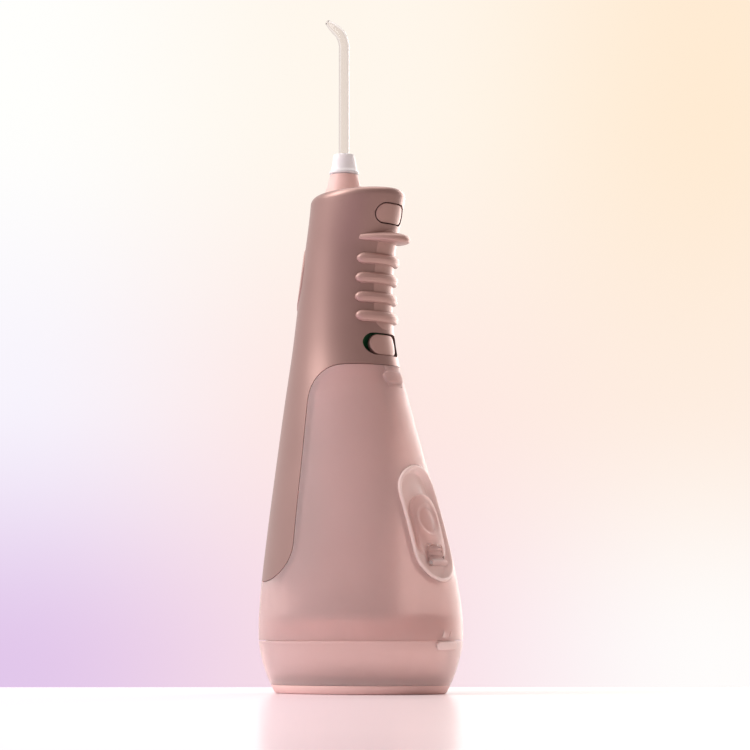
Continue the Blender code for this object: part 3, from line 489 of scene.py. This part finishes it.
# The seat of the knob and the hole for the tip: (radius, height) in mm.
KNOB_SEAT = ((0.01, 193.0), (8.7, 193.0), (8.7, 200.0), (0.01, 200.0))
JET_HOLE = ((0.01, 185.0), (6.0, 185.0), (6.0, 199.0), (0.01, 199.0))
FLANGE_HALF_SPAN = 11.6 * MM
FLANGE_HALF_WIDTH = 12.0 * MM
FLANGE_MIDDLE_Y = -5.6 * MM
FLANGE_ROOT = -1.5 * MM
FLANGE_HALF_HEIGHT = 1.55 * MM
FLANGE_SWELL = 0.5 * MM
FLANGE_DROOP = 0.8 * MM
FLANGE_STEPS = 64
FLANGE_SIDES = 32


def make_housing():
    """The hollow head and tongue, with its openings for the core, the tip and the buttons."""
    low = TONGUE_BOTTOM_Z - MM
    housing = body_form("housing", low, BODY_TOP)
    cut(housing, tank_side_cutter(0.0))
    hollow = body_form("hollow", low, BODY_TOP - 2.0 * HOUSING_WALL, HOUSING_WALL, COARSE_SIDES, COARSE_ROW)
    cut(hollow, tank_side_cutter(HOUSING_WALL))
    cut(housing, hollow, core_form("core_hole", low - MM, CORE_HIGH.z + 2.0 * MM, GAP))
    cut(housing, turned("knob_seat", KNOB_SEAT, (0.0, JET_Y)), turned("jet_hole", JET_HOLE, (0.0, JET_Y)))
    for (width, height), z in ((EJECT_HOLE, EJECT_Z), (POWER_HOLE, POWER_Z)):
        outline = pill(width * MM, height * MM, (0.0, z * MM), 20, 1)
        cut(housing, prism("button_hole", outline, -FAR, HOLE_INNER_Y))
    finish(housing, "rose_plastic", "handle", ("main_housing",), 30.0)


def make_grip():
    """The finger grip on the front, and the low pad on the back."""
    low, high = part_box("grip_strip")
    strip = crowned_pad("grip_strip_skin", STRIP_WIDTH, (high.z - low.z) / MM, centre_of("grip_strip").z / MM,
                        -0.3, 0.12, 0.1)
    finish(strip, "rose_grip", "handle", ("grip_strip",))
    for index in range(1, 5):
        node = f"grip_rib_{index}"
        rib = crowned_pad(f"{node}_skin", *RIB_SIZE, centre_of(node).z / MM, -0.4, 1.9, 1.6, 0.1)
        finish(rib, "rose_grip", "handle", (node,), 60.0)
    make_flange()
    pad_z = centre_of("back_pad").z / MM
    pad = crowned_pad("back_pad_skin", *BACK_PAD_SIZE, pad_z, -0.6, 0.42, 0.4, side=1.0)
    finish(pad, "rose_grip", "handle", ("back_pad",))


def flange_ring(turn, middle_z, reach):
    """One flattened round section of the flange, at an angle from one end to the other."""
    along = math.sin(turn)
    middle_part = 1.0 - along * along
    cap = math.cos(turn) ** 0.4
    u = FLANGE_HALF_SPAN * along
    root = on_skin(u, middle_z, FLANGE_ROOT).y
    front = FLANGE_MIDDLE_Y - reach * math.sqrt(1.0 - (u / FLANGE_HALF_WIDTH) ** 2)
    depth = (root - front) * cap
    tall = (FLANGE_HALF_HEIGHT + FLANGE_SWELL * middle_part) * cap
    ring = []
    for side in range(FLANGE_SIDES):
        angle = 2.0 * math.pi * side / FLANGE_SIDES
        ahead = 0.5 + 0.5 * math.cos(angle)
        lift = tall * math.copysign(abs(math.sin(angle)) ** 0.75, math.sin(angle))
        droop = -FLANGE_DROOP * ahead ** 2 * middle_part
        ring.append(Vector((u, root - depth * ahead, middle_z + lift + droop)))
    return ring


def make_flange():
    """A soft crescent lip: flattened round sections that keep their thickness to the blunt ends."""
    reach = FLANGE_MIDDLE_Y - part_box("finger_flange")[0].y - 0.2 * MM
    middle_z = centre_of("finger_flange").z
    rings = [flange_ring(math.pi * (step / FLANGE_STEPS - 0.5), middle_z, reach)
             for step in range(FLANGE_STEPS + 1)]
    finish(skin_rings("finger_flange_skin", rings), "rose_grip", "handle", ("finger_flange",), 70.0)


def make_buttons():
    """The caps of the two buttons."""
    eject = crowned_pad("eject_button_cap", *EJECT_SIZE, EJECT_Z, -1.6, -0.25, 0.4, 0.1)
    finish(eject, "rose_grip", "eject_button", ("eject_button",))
    power = crowned_pad("power_button_cap", *POWER_SIZE, POWER_Z, -2.6, -0.5, 0.5, 0.2)
    finish(power, "rose_grip", "power_button", ("power_button",))


# ---------------------------------------------------------------- tip

KNOB_LOW = 193.3
KNOB_RADIUS = 8.3
KNOB_STEPS = 24
COLLAR_STEPS = 16
TIP_BORE = 2.9


def make_knob():
    """The cone that turns the tip, slightly swollen in its flank."""
    low, high = KNOB_LOW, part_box("rotation_knob")[1].z / MM
    profile = [(TIP_BORE, low - 3.0), (5.6, low - 3.0), (5.6, low), (8.15, low), (KNOB_RADIUS, low + 0.15)]
    for step in range(KNOB_STEPS + 1):
        t = step / KNOB_STEPS
        profile.append((KNOB_RADIUS - 2.75 * (1.2 * t - 0.2 * t * t), low + 0.45 + (high - low - 0.7) * t))
    profile += [(5.4, high - 0.06), (5.2, high), (TIP_BORE, high)]
    knob = turned("rotation_knob_cone", profile, (0.0, JET_Y))
    finish(knob, "pearl_rose", "tip_knob", ("rotation_knob",))


def make_collar():
    """The white collar at the foot of the tube, with a small bead round its lower edge."""
    base, top = (corner.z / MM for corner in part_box("tip_ring"))
    profile = [(2.5, base), (5.5, base), (5.75, base + 0.12), (5.82, base + 0.4), (5.8, base + 0.9),
               (5.65, base + 1.2), (5.4, base + 1.4)]
    for step in range(COLLAR_STEPS + 1):
        t = step / COLLAR_STEPS
        profile.append((5.3 - 1.05 * t ** 0.8, base + 1.6 + (top - base - 2.0) * t))
    profile += [(4.1, top - 0.15), (3.85, top), (2.5, top)]
    ring = turned("tip_collar", profile, (0.0, JET_Y))
    finish(ring, "pale_nylon", "jet_tip", ("tip_ring",))


BEND_START_Z = 254.0 * MM
BEND_RADIUS = 10.0 * MM
BEND_TURN = math.radians(50.0)
TIP_RUN = 4.0 * MM
NOZZLE_RUN = 2.4 * MM
TUBE_RADIUS = 2.1 * MM
TUBE_BORE = 1.3 * MM
BEND_BORE = 1.25 * MM
NOZZLE_BORE = 0.4 * MM
NOZZLE_TAPER = 0.95 * MM
STRAIGHT_STEPS = 12
BEND_STEPS = 20
TAPER_STEPS = 10


def jet_station(distance):
    """Point and direction at a distance along the jet tube's middle line, from the bend's start."""
    centre = Vector((0.0, JET_Y + BEND_RADIUS, BEND_START_Z))
    turn = min(max(distance / BEND_RADIUS, 0.0), BEND_TURN)
    point = centre + BEND_RADIUS * Vector((0.0, -math.cos(turn), math.sin(turn)))
    along = Vector((0.0, math.sin(turn), math.cos(turn)))
    spare = distance if distance < 0.0 else max(0.0, distance - BEND_RADIUS * BEND_TURN)
    return point + along * spare, along


def tube_ring(distance, radius, sides=40):
    """One ring round the jet tube's middle line."""
    point, along = jet_station(distance)
    across = Vector((1.0, 0.0, 0.0))
    up = along.cross(across)
    return [point + radius * (math.cos(turn) * across + math.sin(turn) * up)
            for turn in (2.0 * math.pi * side / sides for side in range(sides))]


def make_jet():
    """The clear tube and its tapered nozzle, one hollow moulding."""
    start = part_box("jet_tube")[0].z - BEND_START_Z
    bend_end = BEND_RADIUS * BEND_TURN
    end = bend_end + TIP_RUN + NOZZLE_RUN
    rings = [tube_ring(start, TUBE_BORE), tube_ring(start, TUBE_RADIUS - 0.1 * MM),
             tube_ring(start + 0.1 * MM, TUBE_RADIUS)]
    rings += [tube_ring(start * (1.0 - step / STRAIGHT_STEPS), TUBE_RADIUS)
              for step in range(1, STRAIGHT_STEPS + 1)]
    rings += [tube_ring(bend_end * step / BEND_STEPS, TUBE_RADIUS) for step in range(1, BEND_STEPS + 1)]
    for step in range(1, TAPER_STEPS + 1):
        t = step / TAPER_STEPS
        rings.append(tube_ring(bend_end + (end - bend_end) * t, TUBE_RADIUS - NOZZLE_TAPER * t ** 1.6))
    rings += [tube_ring(end + 0.15 * MM, 1.0 * MM), tube_ring(end + 0.2 * MM, 0.8 * MM),
              tube_ring(end + 0.2 * MM, NOZZLE_BORE), tube_ring(end - 1.2 * MM, NOZZLE_BORE),
              tube_ring(bend_end + TIP_RUN * 0.8, 1.0 * MM), tube_ring(bend_end, 1.2 * MM)]
    rings += [tube_ring(bend_end * (1.0 - step / BEND_STEPS), BEND_BORE) for step in range(1, BEND_STEPS + 1)]
    rings += [tube_ring(start * step / STRAIGHT_STEPS, TUBE_BORE) for step in range(1, STRAIGHT_STEPS)]
    jet = skin_rings("jet_tip_tube", rings, closed=True)
    finish(jet, "clear_plastic", "jet_tip", ("jet_tube", "jet_nozzle"), 50.0)


# ---------------------------------------------------------------- tank and fill door

PORT_Z = centre_of("port_frame").z / MM
PORT_SIZE = (23.0, 45.0)
PORT_DEPTH_Y = -20.0 * MM
# The port frame from its outer edge inwards: how far in, and how high above the skin, in mm.
PORT_PROFILE = ((0.0, -4.4), (0.0, -0.3), (0.1, 0.05), (0.35, 0.3), (0.75, 0.42), (1.1, 0.38), (1.35, 0.12),
                (1.45, -0.4), (1.55, -2.2), (1.8, -2.6), (2.3, -2.8))
PORT_FLOOR = -2.8
PORT_BACK = -4.4
PORT_FLOOR_STEPS = 8
POUR_HOLE = (10.0, 16.0, 64.6)
# The fill door: width, height and middle in mm, its round dimple, and the window over its hinge.
DOOR_SIZE = (16.8, 26.8)
DOOR_Z = 62.8
DOOR_BACK = -2.3
DOOR_FACE = -0.45
DOOR_EDGE = 0.9
DIMPLE_Z = 66.2
DIMPLE_PROFILE = ((12.4, -0.42), (12.0, -0.5), (11.2, -0.75), (10.2, -1.05), (9.2, -1.2), (8.4, -1.22),
                  (7.4, -1.12), (4.0, -1.02), (0.001, -1.0))
WINDOW_SPAN = (-6.4 * MM, 4.4 * MM)
WINDOW_HEIGHTS = (49.3 * MM, 56.4 * MM)
WINDOW_CORNER = 1.2 * MM
# The hinge's turned pieces: (radius, place along the hinge) in mm.
DOOR_BARREL = ((0.85, -4.4), (1.2, -4.4), (1.3, -4.3), (1.3, 4.3), (1.2, 4.4), (0.85, 4.4))
DOOR_PIN = ((0.01, -5.0), (0.6, -5.0), (0.72, -4.88), (0.72, 4.88), (0.6, 5.0), (0.01, 5.0))
HINGE_SIDES = 32
# The raised band that runs up from the tank's tab: half width and height above the skin, in mm.
BAND_PROFILE = ((4.2, -0.4), (4.2, 0.25), (4.05, 0.42), (3.7, 0.5))
BAND_LOW = 117.4
BAND_HIGH = 125.2
BAND_ROW = 0.5
BAND_ROWS = 16
BAND_COLUMNS = 8


def tank_block(name, low, inset, sides, row):
    """The solid that the tank fills, drawn in by inset, with the core's pocket taken out."""
    block_form = body_form(name, low, SHOULDER_Z + MM, inset, sides, row)
    keep(block_form, tank_side_cutter(-GAP - inset))
    margin = GAP + inset
    return cut(block_form, core_form("pocket", CORE_BOTTOM_Z - margin, SHOULDER_Z + 4.0 * MM, margin))


def band_ring(half_width, raised):
    """One outline of the band: up its left side, across its top and down its right side."""
    outline = [(-half_width, BAND_LOW + step * BAND_ROW) for step in range(BAND_ROWS)]
    outline += [(-half_width + 2.0 * half_width * step / BAND_COLUMNS, BAND_HIGH + raised * 0.2)
                for step in range(BAND_COLUMNS + 1)]
    outline += [(half_width, BAND_HIGH - 0.3 - step * BAND_ROW) for step in range(BAND_ROWS)]
    return [on_skin(u * MM, z * MM, raised * MM) for u, z in outline]


def make_tank():
    """The frosted shell with its port opening, and the tab and band under the power button."""
    low = SEAM_Z + 0.15 * MM
    shell = tank_block("tank", low, 0.0, FINE_SIDES, FINE_ROW)
    cut(shell, tank_block("tank_space", low - 2.0 * MM, TANK_WALL, COARSE_SIDES, COARSE_ROW))
    outline = pill(PORT_SIZE[0] * MM, PORT_SIZE[1] * MM, (0.0, PORT_Z * MM), 24, 1)
    cut(shell, prism("port_opening", outline, -FAR, PORT_DEPTH_Y))
    finish(shell, "frosted_rose", "tank", ("tank_shell",), 30.0)
    tab = crowned_pad("tank_tab_skin", 11.0, 5.0, centre_of("tank_tab").z / MM, -0.4, 1.15, 0.9, 0.1)
    finish(tab, "frosted_rose", "tank", ("tank_tab",), 60.0)
    band = skin_rings("tank_tab_band", [band_ring(*row) for row in BAND_PROFILE])
    finish(band, "frosted_rose", "tank", (), 60.0)


def make_port():
    """Frame of the fill port: a raised bead, a steep wall down to a sunken floor, and the pour hole, in a
    paler copy of the frosted finish that is painted light.
    """
    width, height = PORT_SIZE[0] - 0.2, PORT_SIZE[1] - 0.2
    hole_width, hole_height, hole_z = POUR_HOLE
    rings = [(width - 2.0 * inset, height - 2.0 * inset, PORT_Z, raised) for inset, raised in PORT_PROFILE]
    rim = rings[-1]
    for step in range(1, PORT_FLOOR_STEPS):
        t = step / PORT_FLOOR_STEPS
        rings.append((rim[0] + (hole_width - rim[0]) * t, rim[1] + (hole_height - rim[1]) * t,
                      PORT_Z + (hole_z - PORT_Z) * t, PORT_FLOOR))
    rings += [(hole_width + 0.3, hole_height + 0.3, hole_z, PORT_FLOOR),
              (hole_width, hole_height, hole_z, PORT_FLOOR - 0.15),
              (hole_width, hole_height, hole_z, PORT_BACK)]
    frame_piece = skin_pad("port_frame_moulding", rings, closed=True)
    finish(frame_piece, "frosted_rose", "tank", ("port_frame",), 50.0, "frosted_rose_painted_light")


def door_window():
    """Outline of the opening over the hinge: square below, rounded above."""
    (left, right), (low, high), corner = WINDOW_SPAN, WINDOW_HEIGHTS, WINDOW_CORNER
    outline = [(left, low), (right, low)]
    outline += arc((right - corner, high - corner), corner, corner, 0.0, 90.0, 8)
    return outline + arc((left + corner, high - corner), corner, corner, 90.0, 180.0, 8)


def make_flap():
    """The door's flap, with a round dimple in its face."""
    width, height = DOOR_SIZE
    rings = [(6.8, 16.8 + CLOSING, DOOR_Z, DOOR_BACK), (width, height, DOOR_Z, DOOR_BACK)]
    rings += rounded_edge(width, height, DOOR_Z, DOOR_FACE, DOOR_EDGE)
    rings += [(14.6, 23.6, 63.2, -0.42), (13.2, 18.0, 65.2, -0.42)]
    rings += [(across, across + CLOSING, DIMPLE_Z, raised) for across, raised in DIMPLE_PROFILE]
    door = skin_pad("fill_door_flap", rings)
    cut(door, prism("window", door_window(), -FAR, PORT_DEPTH_Y))
    return door


def hinge_piece(name, profile, place):
    """A turned piece laid across the door at its hinge."""
    piece = turned(name, profile, sides=HINGE_SIDES)
    piece.data.transform(Matrix.Translation(place) @ Matrix.Rotation(math.pi / 2.0, 4, "Y"))
    return piece


def make_door():
    """The fill door: its ridged knuckle, flap, hinge and plug."""
    door = make_flap()
    knuckle = crowned_pad("door_knuckle", 9.2, 6.6, 52.9, -2.25, -1.2, 0.3)
    finish(knuckle, "frosted_rose", "fill_door")
    for index in range(3):
        ridge = crowned_pad(f"door_ridge_{index + 1}", 8.6, 1.3, 54.8 - 1.9 * index, -1.5, -0.75, 0.45)
        finish(ridge, "frosted_rose", "fill_door", (), 60.0)
    finish(door, "frosted_rose", "fill_door", ("fill_door",), 60.0)
    barrel_at = Vector((0.0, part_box("door_pin")[0].y + 0.6 * MM, centre_of("door_pin").z))
    finish(hinge_piece("door_barrel", DOOR_BARREL, barrel_at), "frosted_rose", "fill_door")
    finish(hinge_piece("door_pin_rod", DOOR_PIN, centre_of("door_pin")), "steel", "tank", ("door_pin",))
    plug = crowned_pad("door_plug_skin", 9.4, 14.4, 64.6, -4.3, -2.8, 0.4)
    finish(plug, "seal_rubber", "fill_door", ("door_plug",))


# ---------------------------------------------------------------- core, base and foot

CORE_WALL = 1.5 * MM
MARK_Z = 22.6
# The triangles above the base tab: place across and half size, in mm.
MARKS = ((-2.6, 1.3), (1.2, 1.0))
CUP_LIP = 0.3 * MM
CUP_WALL = 4.6 * MM
SPIGOT_INSET = 2.9 * MM
CUP_ROWS = 14
SEAL_HEIGHTS = (22.0 * MM, 28.0 * MM)
SEAL_INSETS = (2.2 * MM, 2.6 * MM)
SEAL_SIDES = 96


def make_core():
    """The hollow core column, in a paler copy of the rose plastic that is painted light, so that the frosted
    tank reads light.
    """
    casing = core_form("core_casing_skin", CORE_LOW.z, CORE_HIGH.z, 0.0, 128)
    cut(casing, core_form("core_bore", CORE_LOW.z - MM, CORE_HIGH.z + MM, -CORE_WALL, 64))
    finish(casing, "rose_plastic", "handle", ("core_casing",), look="rose_plastic_painted_light")


def mark(name, across, size):
    """A small plain raised triangle above the base tab."""
    corners = ((-size, -size), (size, -size), (0.0, size))
    rings = [[on_skin((across + u) * MM, (MARK_Z + v) * MM, raised * MM) for u, v in corners]
             for raised in (-0.3, 0.22)]
    return skin_rings(name, rings)


def make_cup():
    """The base cup: outer wall, seam lip, spigot inside the tank, and the hollow."""
    foot_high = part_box("foot_pad")[1].z
    low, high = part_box("base_cup")[0].z, SEAM_Z - 0.15 * MM
    spigot_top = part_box("base_cup")[1].z
    side_low, side_run = low + 0.4 * MM, high - low - 0.7 * MM
    stations = [(foot_high + 0.02 * MM, CUP_LIP), (low, 0.05 * MM), (side_low, 0.0)]
    stations += [(side_low + side_run * step / CUP_ROWS, 0.0) for step in range(1, CUP_ROWS + 1)]
    stations += [(high - 0.1 * MM, 0.08 * MM), (high, CUP_LIP), (high, SPIGOT_INSET),
                 (spigot_top, SPIGOT_INSET), (spigot_top, CUP_WALL), (high, CUP_WALL),
                 (low + 4.0 * MM, CUP_WALL), (low + 2.4 * MM, 6.5 * MM)]
    cup = skin_rings("base_cup_skin", [body_ring(z, inset, FINE_SIDES) for z, inset in stations])
    finish(cup, "frosted_rose", "base", ("base_cup",), 50.0)


def make_foot():
    """The soft pad that the flosser stands on."""
    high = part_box("foot_pad")[1].z
    stations = ((0.0, 0.9 * MM), (0.12 * MM, 0.4 * MM), (0.5 * MM, 0.05 * MM), (high - 0.1 * MM, 0.0),
                (high, 0.08 * MM))
    pad = skin_rings("foot_pad_skin", [body_ring(z, inset, FINE_SIDES) for z, inset in stations])
    finish(pad, "seal_rubber", "base", ("foot_pad",), 50.0)


def make_seal():
    """The seal round the spigot of the base cup."""
    (low, high), (outer, inner) = SEAL_HEIGHTS, SEAL_INSETS
    stations = ((low, outer), (high, outer), (high, inner), (low, inner))
    rings = [body_ring(z, inset, SEAL_SIDES) for z, inset in stations]
    seal = skin_rings("base_seal_skin", rings, closed=True)
    finish(seal, "seal_rubber", "base", ("base_seal",))


def make_base():
    """The base cup with its foot, seal and tab, and the marks above the tab."""
    make_cup()
    make_foot()
    make_seal()
    tab = crowned_pad("base_tab_skin", 12.4, 3.3, centre_of("base_latch_tab").z / MM, -1.4, 0.35, 0.7)
    # The base tab is painted lighter with the paler copy of the frosted finish.
    finish(tab, "frosted_rose", "base", ("base_latch_tab",), 60.0, "frosted_rose_painted_light")
    for place, size in MARKS:
        name = f"align_mark_{size:.0f}_{place:.0f}".replace("-", "m")
        # The marks are painted lighter with the same paler copy of the frosted finish.
        finish(mark(name, place, size), "frosted_rose", "tank", look="frosted_rose_painted_light")


def dress_cad_nodes():
    """The CAD nodes that stay get their finish by slot."""
    slots = {entry["node"]: entry["material_slot"] for entry in frame["record"]["subparts"]}
    for node, obj in frame["nodes"].items():
        if not obj.hide_render:
            obj.data.materials.clear()
            obj.data.materials.append(MATERIALS[slots[node]])
            obj.data.shade_smooth()
            obj.data.set_sharp_from_angle(angle=math.radians(35.0))


# ---------------------------------------------------------------- floor, light and camera

VIEW_AZIMUTH = math.radians(-51.0)
VIEW_DISTANCE = 1.0
VIEW_HEIGHT = 18.6 * MM
VIEW_PITCH = math.radians(5.97)
VIEW_YAW = math.radians(0.333)
LENS = 123.8
UP = Vector((0.0, 0.0, 1.0))
LIGHT_AIM = Vector((0.0, 0.0, 0.11))
# Each light: name, place across, towards the viewer and up, size, power, colour.
SOFT_LIGHTS = (
    ("soft_left", -0.85, 0.20, 0.90, (0.6, 0.8), 10.5, (1.0, 0.97, 0.95)),
    ("soft_right", 0.60, -0.90, 0.35, (0.7, 1.0), 10.0, (1.0, 0.92, 0.88)),
    ("soft_top", 0.0, -0.20, 1.2, (1.0, 1.0), 6.0, (1.0, 0.97, 0.95)),
)
# The backdrop from the floor up, each row from left to right.
BACKDROP_ROWS = (
    ((0.76, 0.57, 0.83), (0.94, 0.73, 0.80), (1.0, 0.98, 0.97)),
    ((0.93, 0.89, 0.98), (0.99, 0.80, 0.77), (0.99, 0.85, 0.75)),
    ((1.0, 1.0, 0.98), (1.0, 0.93, 0.84), (1.0, 0.83, 0.65)),
)
SIDE_BLEND = 0.14
LOWER_BLEND = (-0.01, 0.10)
UPPER_BLEND = (0.07, 0.21)
SURROUND_BLEND = (-0.8, 0.9)
SURROUND_FRONT = (0.42, 0.345, 0.325)
SURROUND_BACK = (1.0, 0.93, 0.91)
# Painted coloured light on the floor: lilac at the left, warm white at the right.
FLOOR_LEFT_PAINTED_LIGHT = (0.86, 0.70, 0.90)
FLOOR_RIGHT_PAINTED_LIGHT = (0.96, 0.90, 0.87)
FLOOR_BLEND = (-0.15, 0.10)
FLOOR_ROUGHNESS = 0.16
FLOOR_BACK = -0.143
FLOOR_FRONT = 1.2
FLOOR_SIDE = 1.4
FLOOR_THICKNESS = 0.03
TOWARDS_VIEWER = Vector((math.sin(VIEW_AZIMUTH), -math.cos(VIEW_AZIMUTH), 0.0))
VIEW_RIGHT = Vector((math.cos(VIEW_AZIMUTH), math.sin(VIEW_AZIMUTH), 0.0))
SURROUND_AXIS = -0.80 * TOWARDS_VIEWER - 0.60 * VIEW_RIGHT


def make_camera():
    """The camera at the photo's angle."""
    camera = bpy.data.objects.new("camera", bpy.data.cameras.new("camera"))
    bpy.context.scene.collection.objects.link(camera)
    camera.data.lens = LENS
    camera.data.sensor_width = 36.0
    camera.data.clip_start = 0.01
    camera.data.clip_end = 20.0
    camera.location = TOWARDS_VIEWER * VIEW_DISTANCE + Vector((0.0, 0.0, VIEW_HEIGHT))
    camera.rotation_euler = (math.pi / 2.0 + VIEW_PITCH, 0.0, VIEW_AZIMUTH - VIEW_YAW)
    bpy.context.scene.camera = camera


def make_lights():
    """Three soft sheets of light, aimed at the middle of the object."""
    for name, across, towards, height, size, power, colour in SOFT_LIGHTS:
        data = bpy.data.lights.new(name, "AREA")
        data.shape = "RECTANGLE"
        data.size, data.size_y = size
        data.energy = power
        data.color = colour
        light = bpy.data.objects.new(name, data)
        bpy.context.scene.collection.objects.link(light)
        light.visible_transmission = False
        light.location = VIEW_RIGHT * across + TOWARDS_VIEWER * towards + UP * height
        light.rotation_euler = (LIGHT_AIM - light.location).to_track_quat("-Z", "Y").to_euler()


def colour_mix(nodes, links, factor, first, second):
    """Mix two colours or colour outputs by a factor."""
    mix = nodes.new("ShaderNodeMix")
    mix.data_type = "RGBA"
    links.new(factor, mix.inputs["Factor"])
    for name, value in (("A", first), ("B", second)):
        socket = next(item for item in mix.inputs if item.name == name and item.type == "RGBA")
        if isinstance(value, tuple):
            socket.default_value = (*value, 1.0)
        else:
            links.new(value, socket)
    return next(item for item in mix.outputs if item.type == "RGBA")


def direction_factor(nodes, links, axis, low, high):
    """How far the direction of a ray has gone along an axis, from 0 at low to 1 at high."""
    place = nodes.new("ShaderNodeTexCoord")
    dot = nodes.new("ShaderNodeVectorMath")
    dot.operation = "DOT_PRODUCT"
    dot.inputs[1].default_value = axis
    links.new(place.outputs["Generated"], dot.inputs[0])
    spread = nodes.new("ShaderNodeMapRange")
    spread.interpolation_type = "SMOOTHSTEP"
    spread.inputs["From Min"].default_value = low
    spread.inputs["From Max"].default_value = high
    links.new(dot.outputs["Value"], spread.inputs["Value"])
    return spread.outputs["Result"]


def make_world():
    """A pale studio: a soft backdrop of nine colours, and a surround that is dimmer on the viewer's side."""
    world = bpy.data.worlds.new("studio")
    bpy.context.scene.world = world
    world.use_nodes = True
    nodes, links = world.node_tree.nodes, world.node_tree.links
    to_middle = direction_factor(nodes, links, VIEW_RIGHT, -SIDE_BLEND, 0.0)
    from_middle = direction_factor(nodes, links, VIEW_RIGHT, 0.0, SIDE_BLEND)
    rows = []
    for left, middle, right in BACKDROP_ROWS:
        half = colour_mix(nodes, links, to_middle, left, middle)
        rows.append(colour_mix(nodes, links, from_middle, half, right))
    above_floor = direction_factor(nodes, links, UP, *LOWER_BLEND)
    above_middle = direction_factor(nodes, links, UP, *UPPER_BLEND)
    lower = colour_mix(nodes, links, above_floor, rows[0], rows[1])
    backdrop = colour_mix(nodes, links, above_middle, lower, rows[2])
    behind = direction_factor(nodes, links, SURROUND_AXIS, *SURROUND_BLEND)
    surround = colour_mix(nodes, links, behind, SURROUND_FRONT, SURROUND_BACK)
    path = nodes.new("ShaderNodeLightPath")
    seen = colour_mix(nodes, links, path.outputs["Is Camera Ray"], surround, backdrop)
    background = nodes["Background"]
    links.new(seen, background.inputs["Color"])
    links.new(background.outputs["Background"], nodes["World Output"].inputs["Surface"])


def make_floor():
    """A pale slab whose far edge lies close behind the object."""
    bm = bmesh.new()
    corners = [TOWARDS_VIEWER * depth + VIEW_RIGHT * across
               for depth, across in ((FLOOR_BACK, -FLOOR_SIDE), (FLOOR_BACK, FLOOR_SIDE),
                                     (FLOOR_FRONT, FLOOR_SIDE), (FLOOR_FRONT, -FLOOR_SIDE))]
    low = [bm.verts.new(corner - Vector((0.0, 0.0, FLOOR_THICKNESS))) for corner in corners]
    top = [bm.verts.new(corner) for corner in corners]
    for index in range(4):
        after = (index + 1) % 4
        bm.faces.new((low[index], low[after], top[after], top[index]))
    bm.faces.new(top)
    bm.faces.new(reversed(low))
    floor = from_bmesh(bm, "floor")
    floor.data.materials.append(floor_material())


def floor_material():
    """Pale gloss with painted coloured light: it turns from a cool to a warm white across the view."""
    mat = new_material("floor_pale", FLOOR_RIGHT_PAINTED_LIGHT, FLOOR_ROUGHNESS)
    nodes, links = mat.node_tree.nodes, mat.node_tree.links
    place = nodes.new("ShaderNodeTexCoord")
    dot = nodes.new("ShaderNodeVectorMath")
    dot.operation = "DOT_PRODUCT"
    dot.inputs[1].default_value = VIEW_RIGHT
    ramp = nodes.new("ShaderNodeMapRange")
    ramp.inputs["From Min"].default_value = FLOOR_BLEND[0]
    ramp.inputs["From Max"].default_value = FLOOR_BLEND[1]
    links.new(place.outputs["Object"], dot.inputs[0])
    links.new(dot.outputs["Value"], ramp.inputs["Value"])
    colour = colour_mix(nodes, links, ramp.outputs["Result"], FLOOR_LEFT_PAINTED_LIGHT, FLOOR_RIGHT_PAINTED_LIGHT)
    links.new(colour, nodes["Principled BSDF"].inputs["Base Color"])
    return mat


make_camera()
make_lights()
make_world()
make_floor()
make_housing()
make_grip()
make_buttons()
make_knob()
make_collar()
make_jet()
make_tank()
make_port()
make_door()
make_core()
make_base()
dress_cad_nodes()
bpy.context.scene.view_settings.view_transform = "Standard"
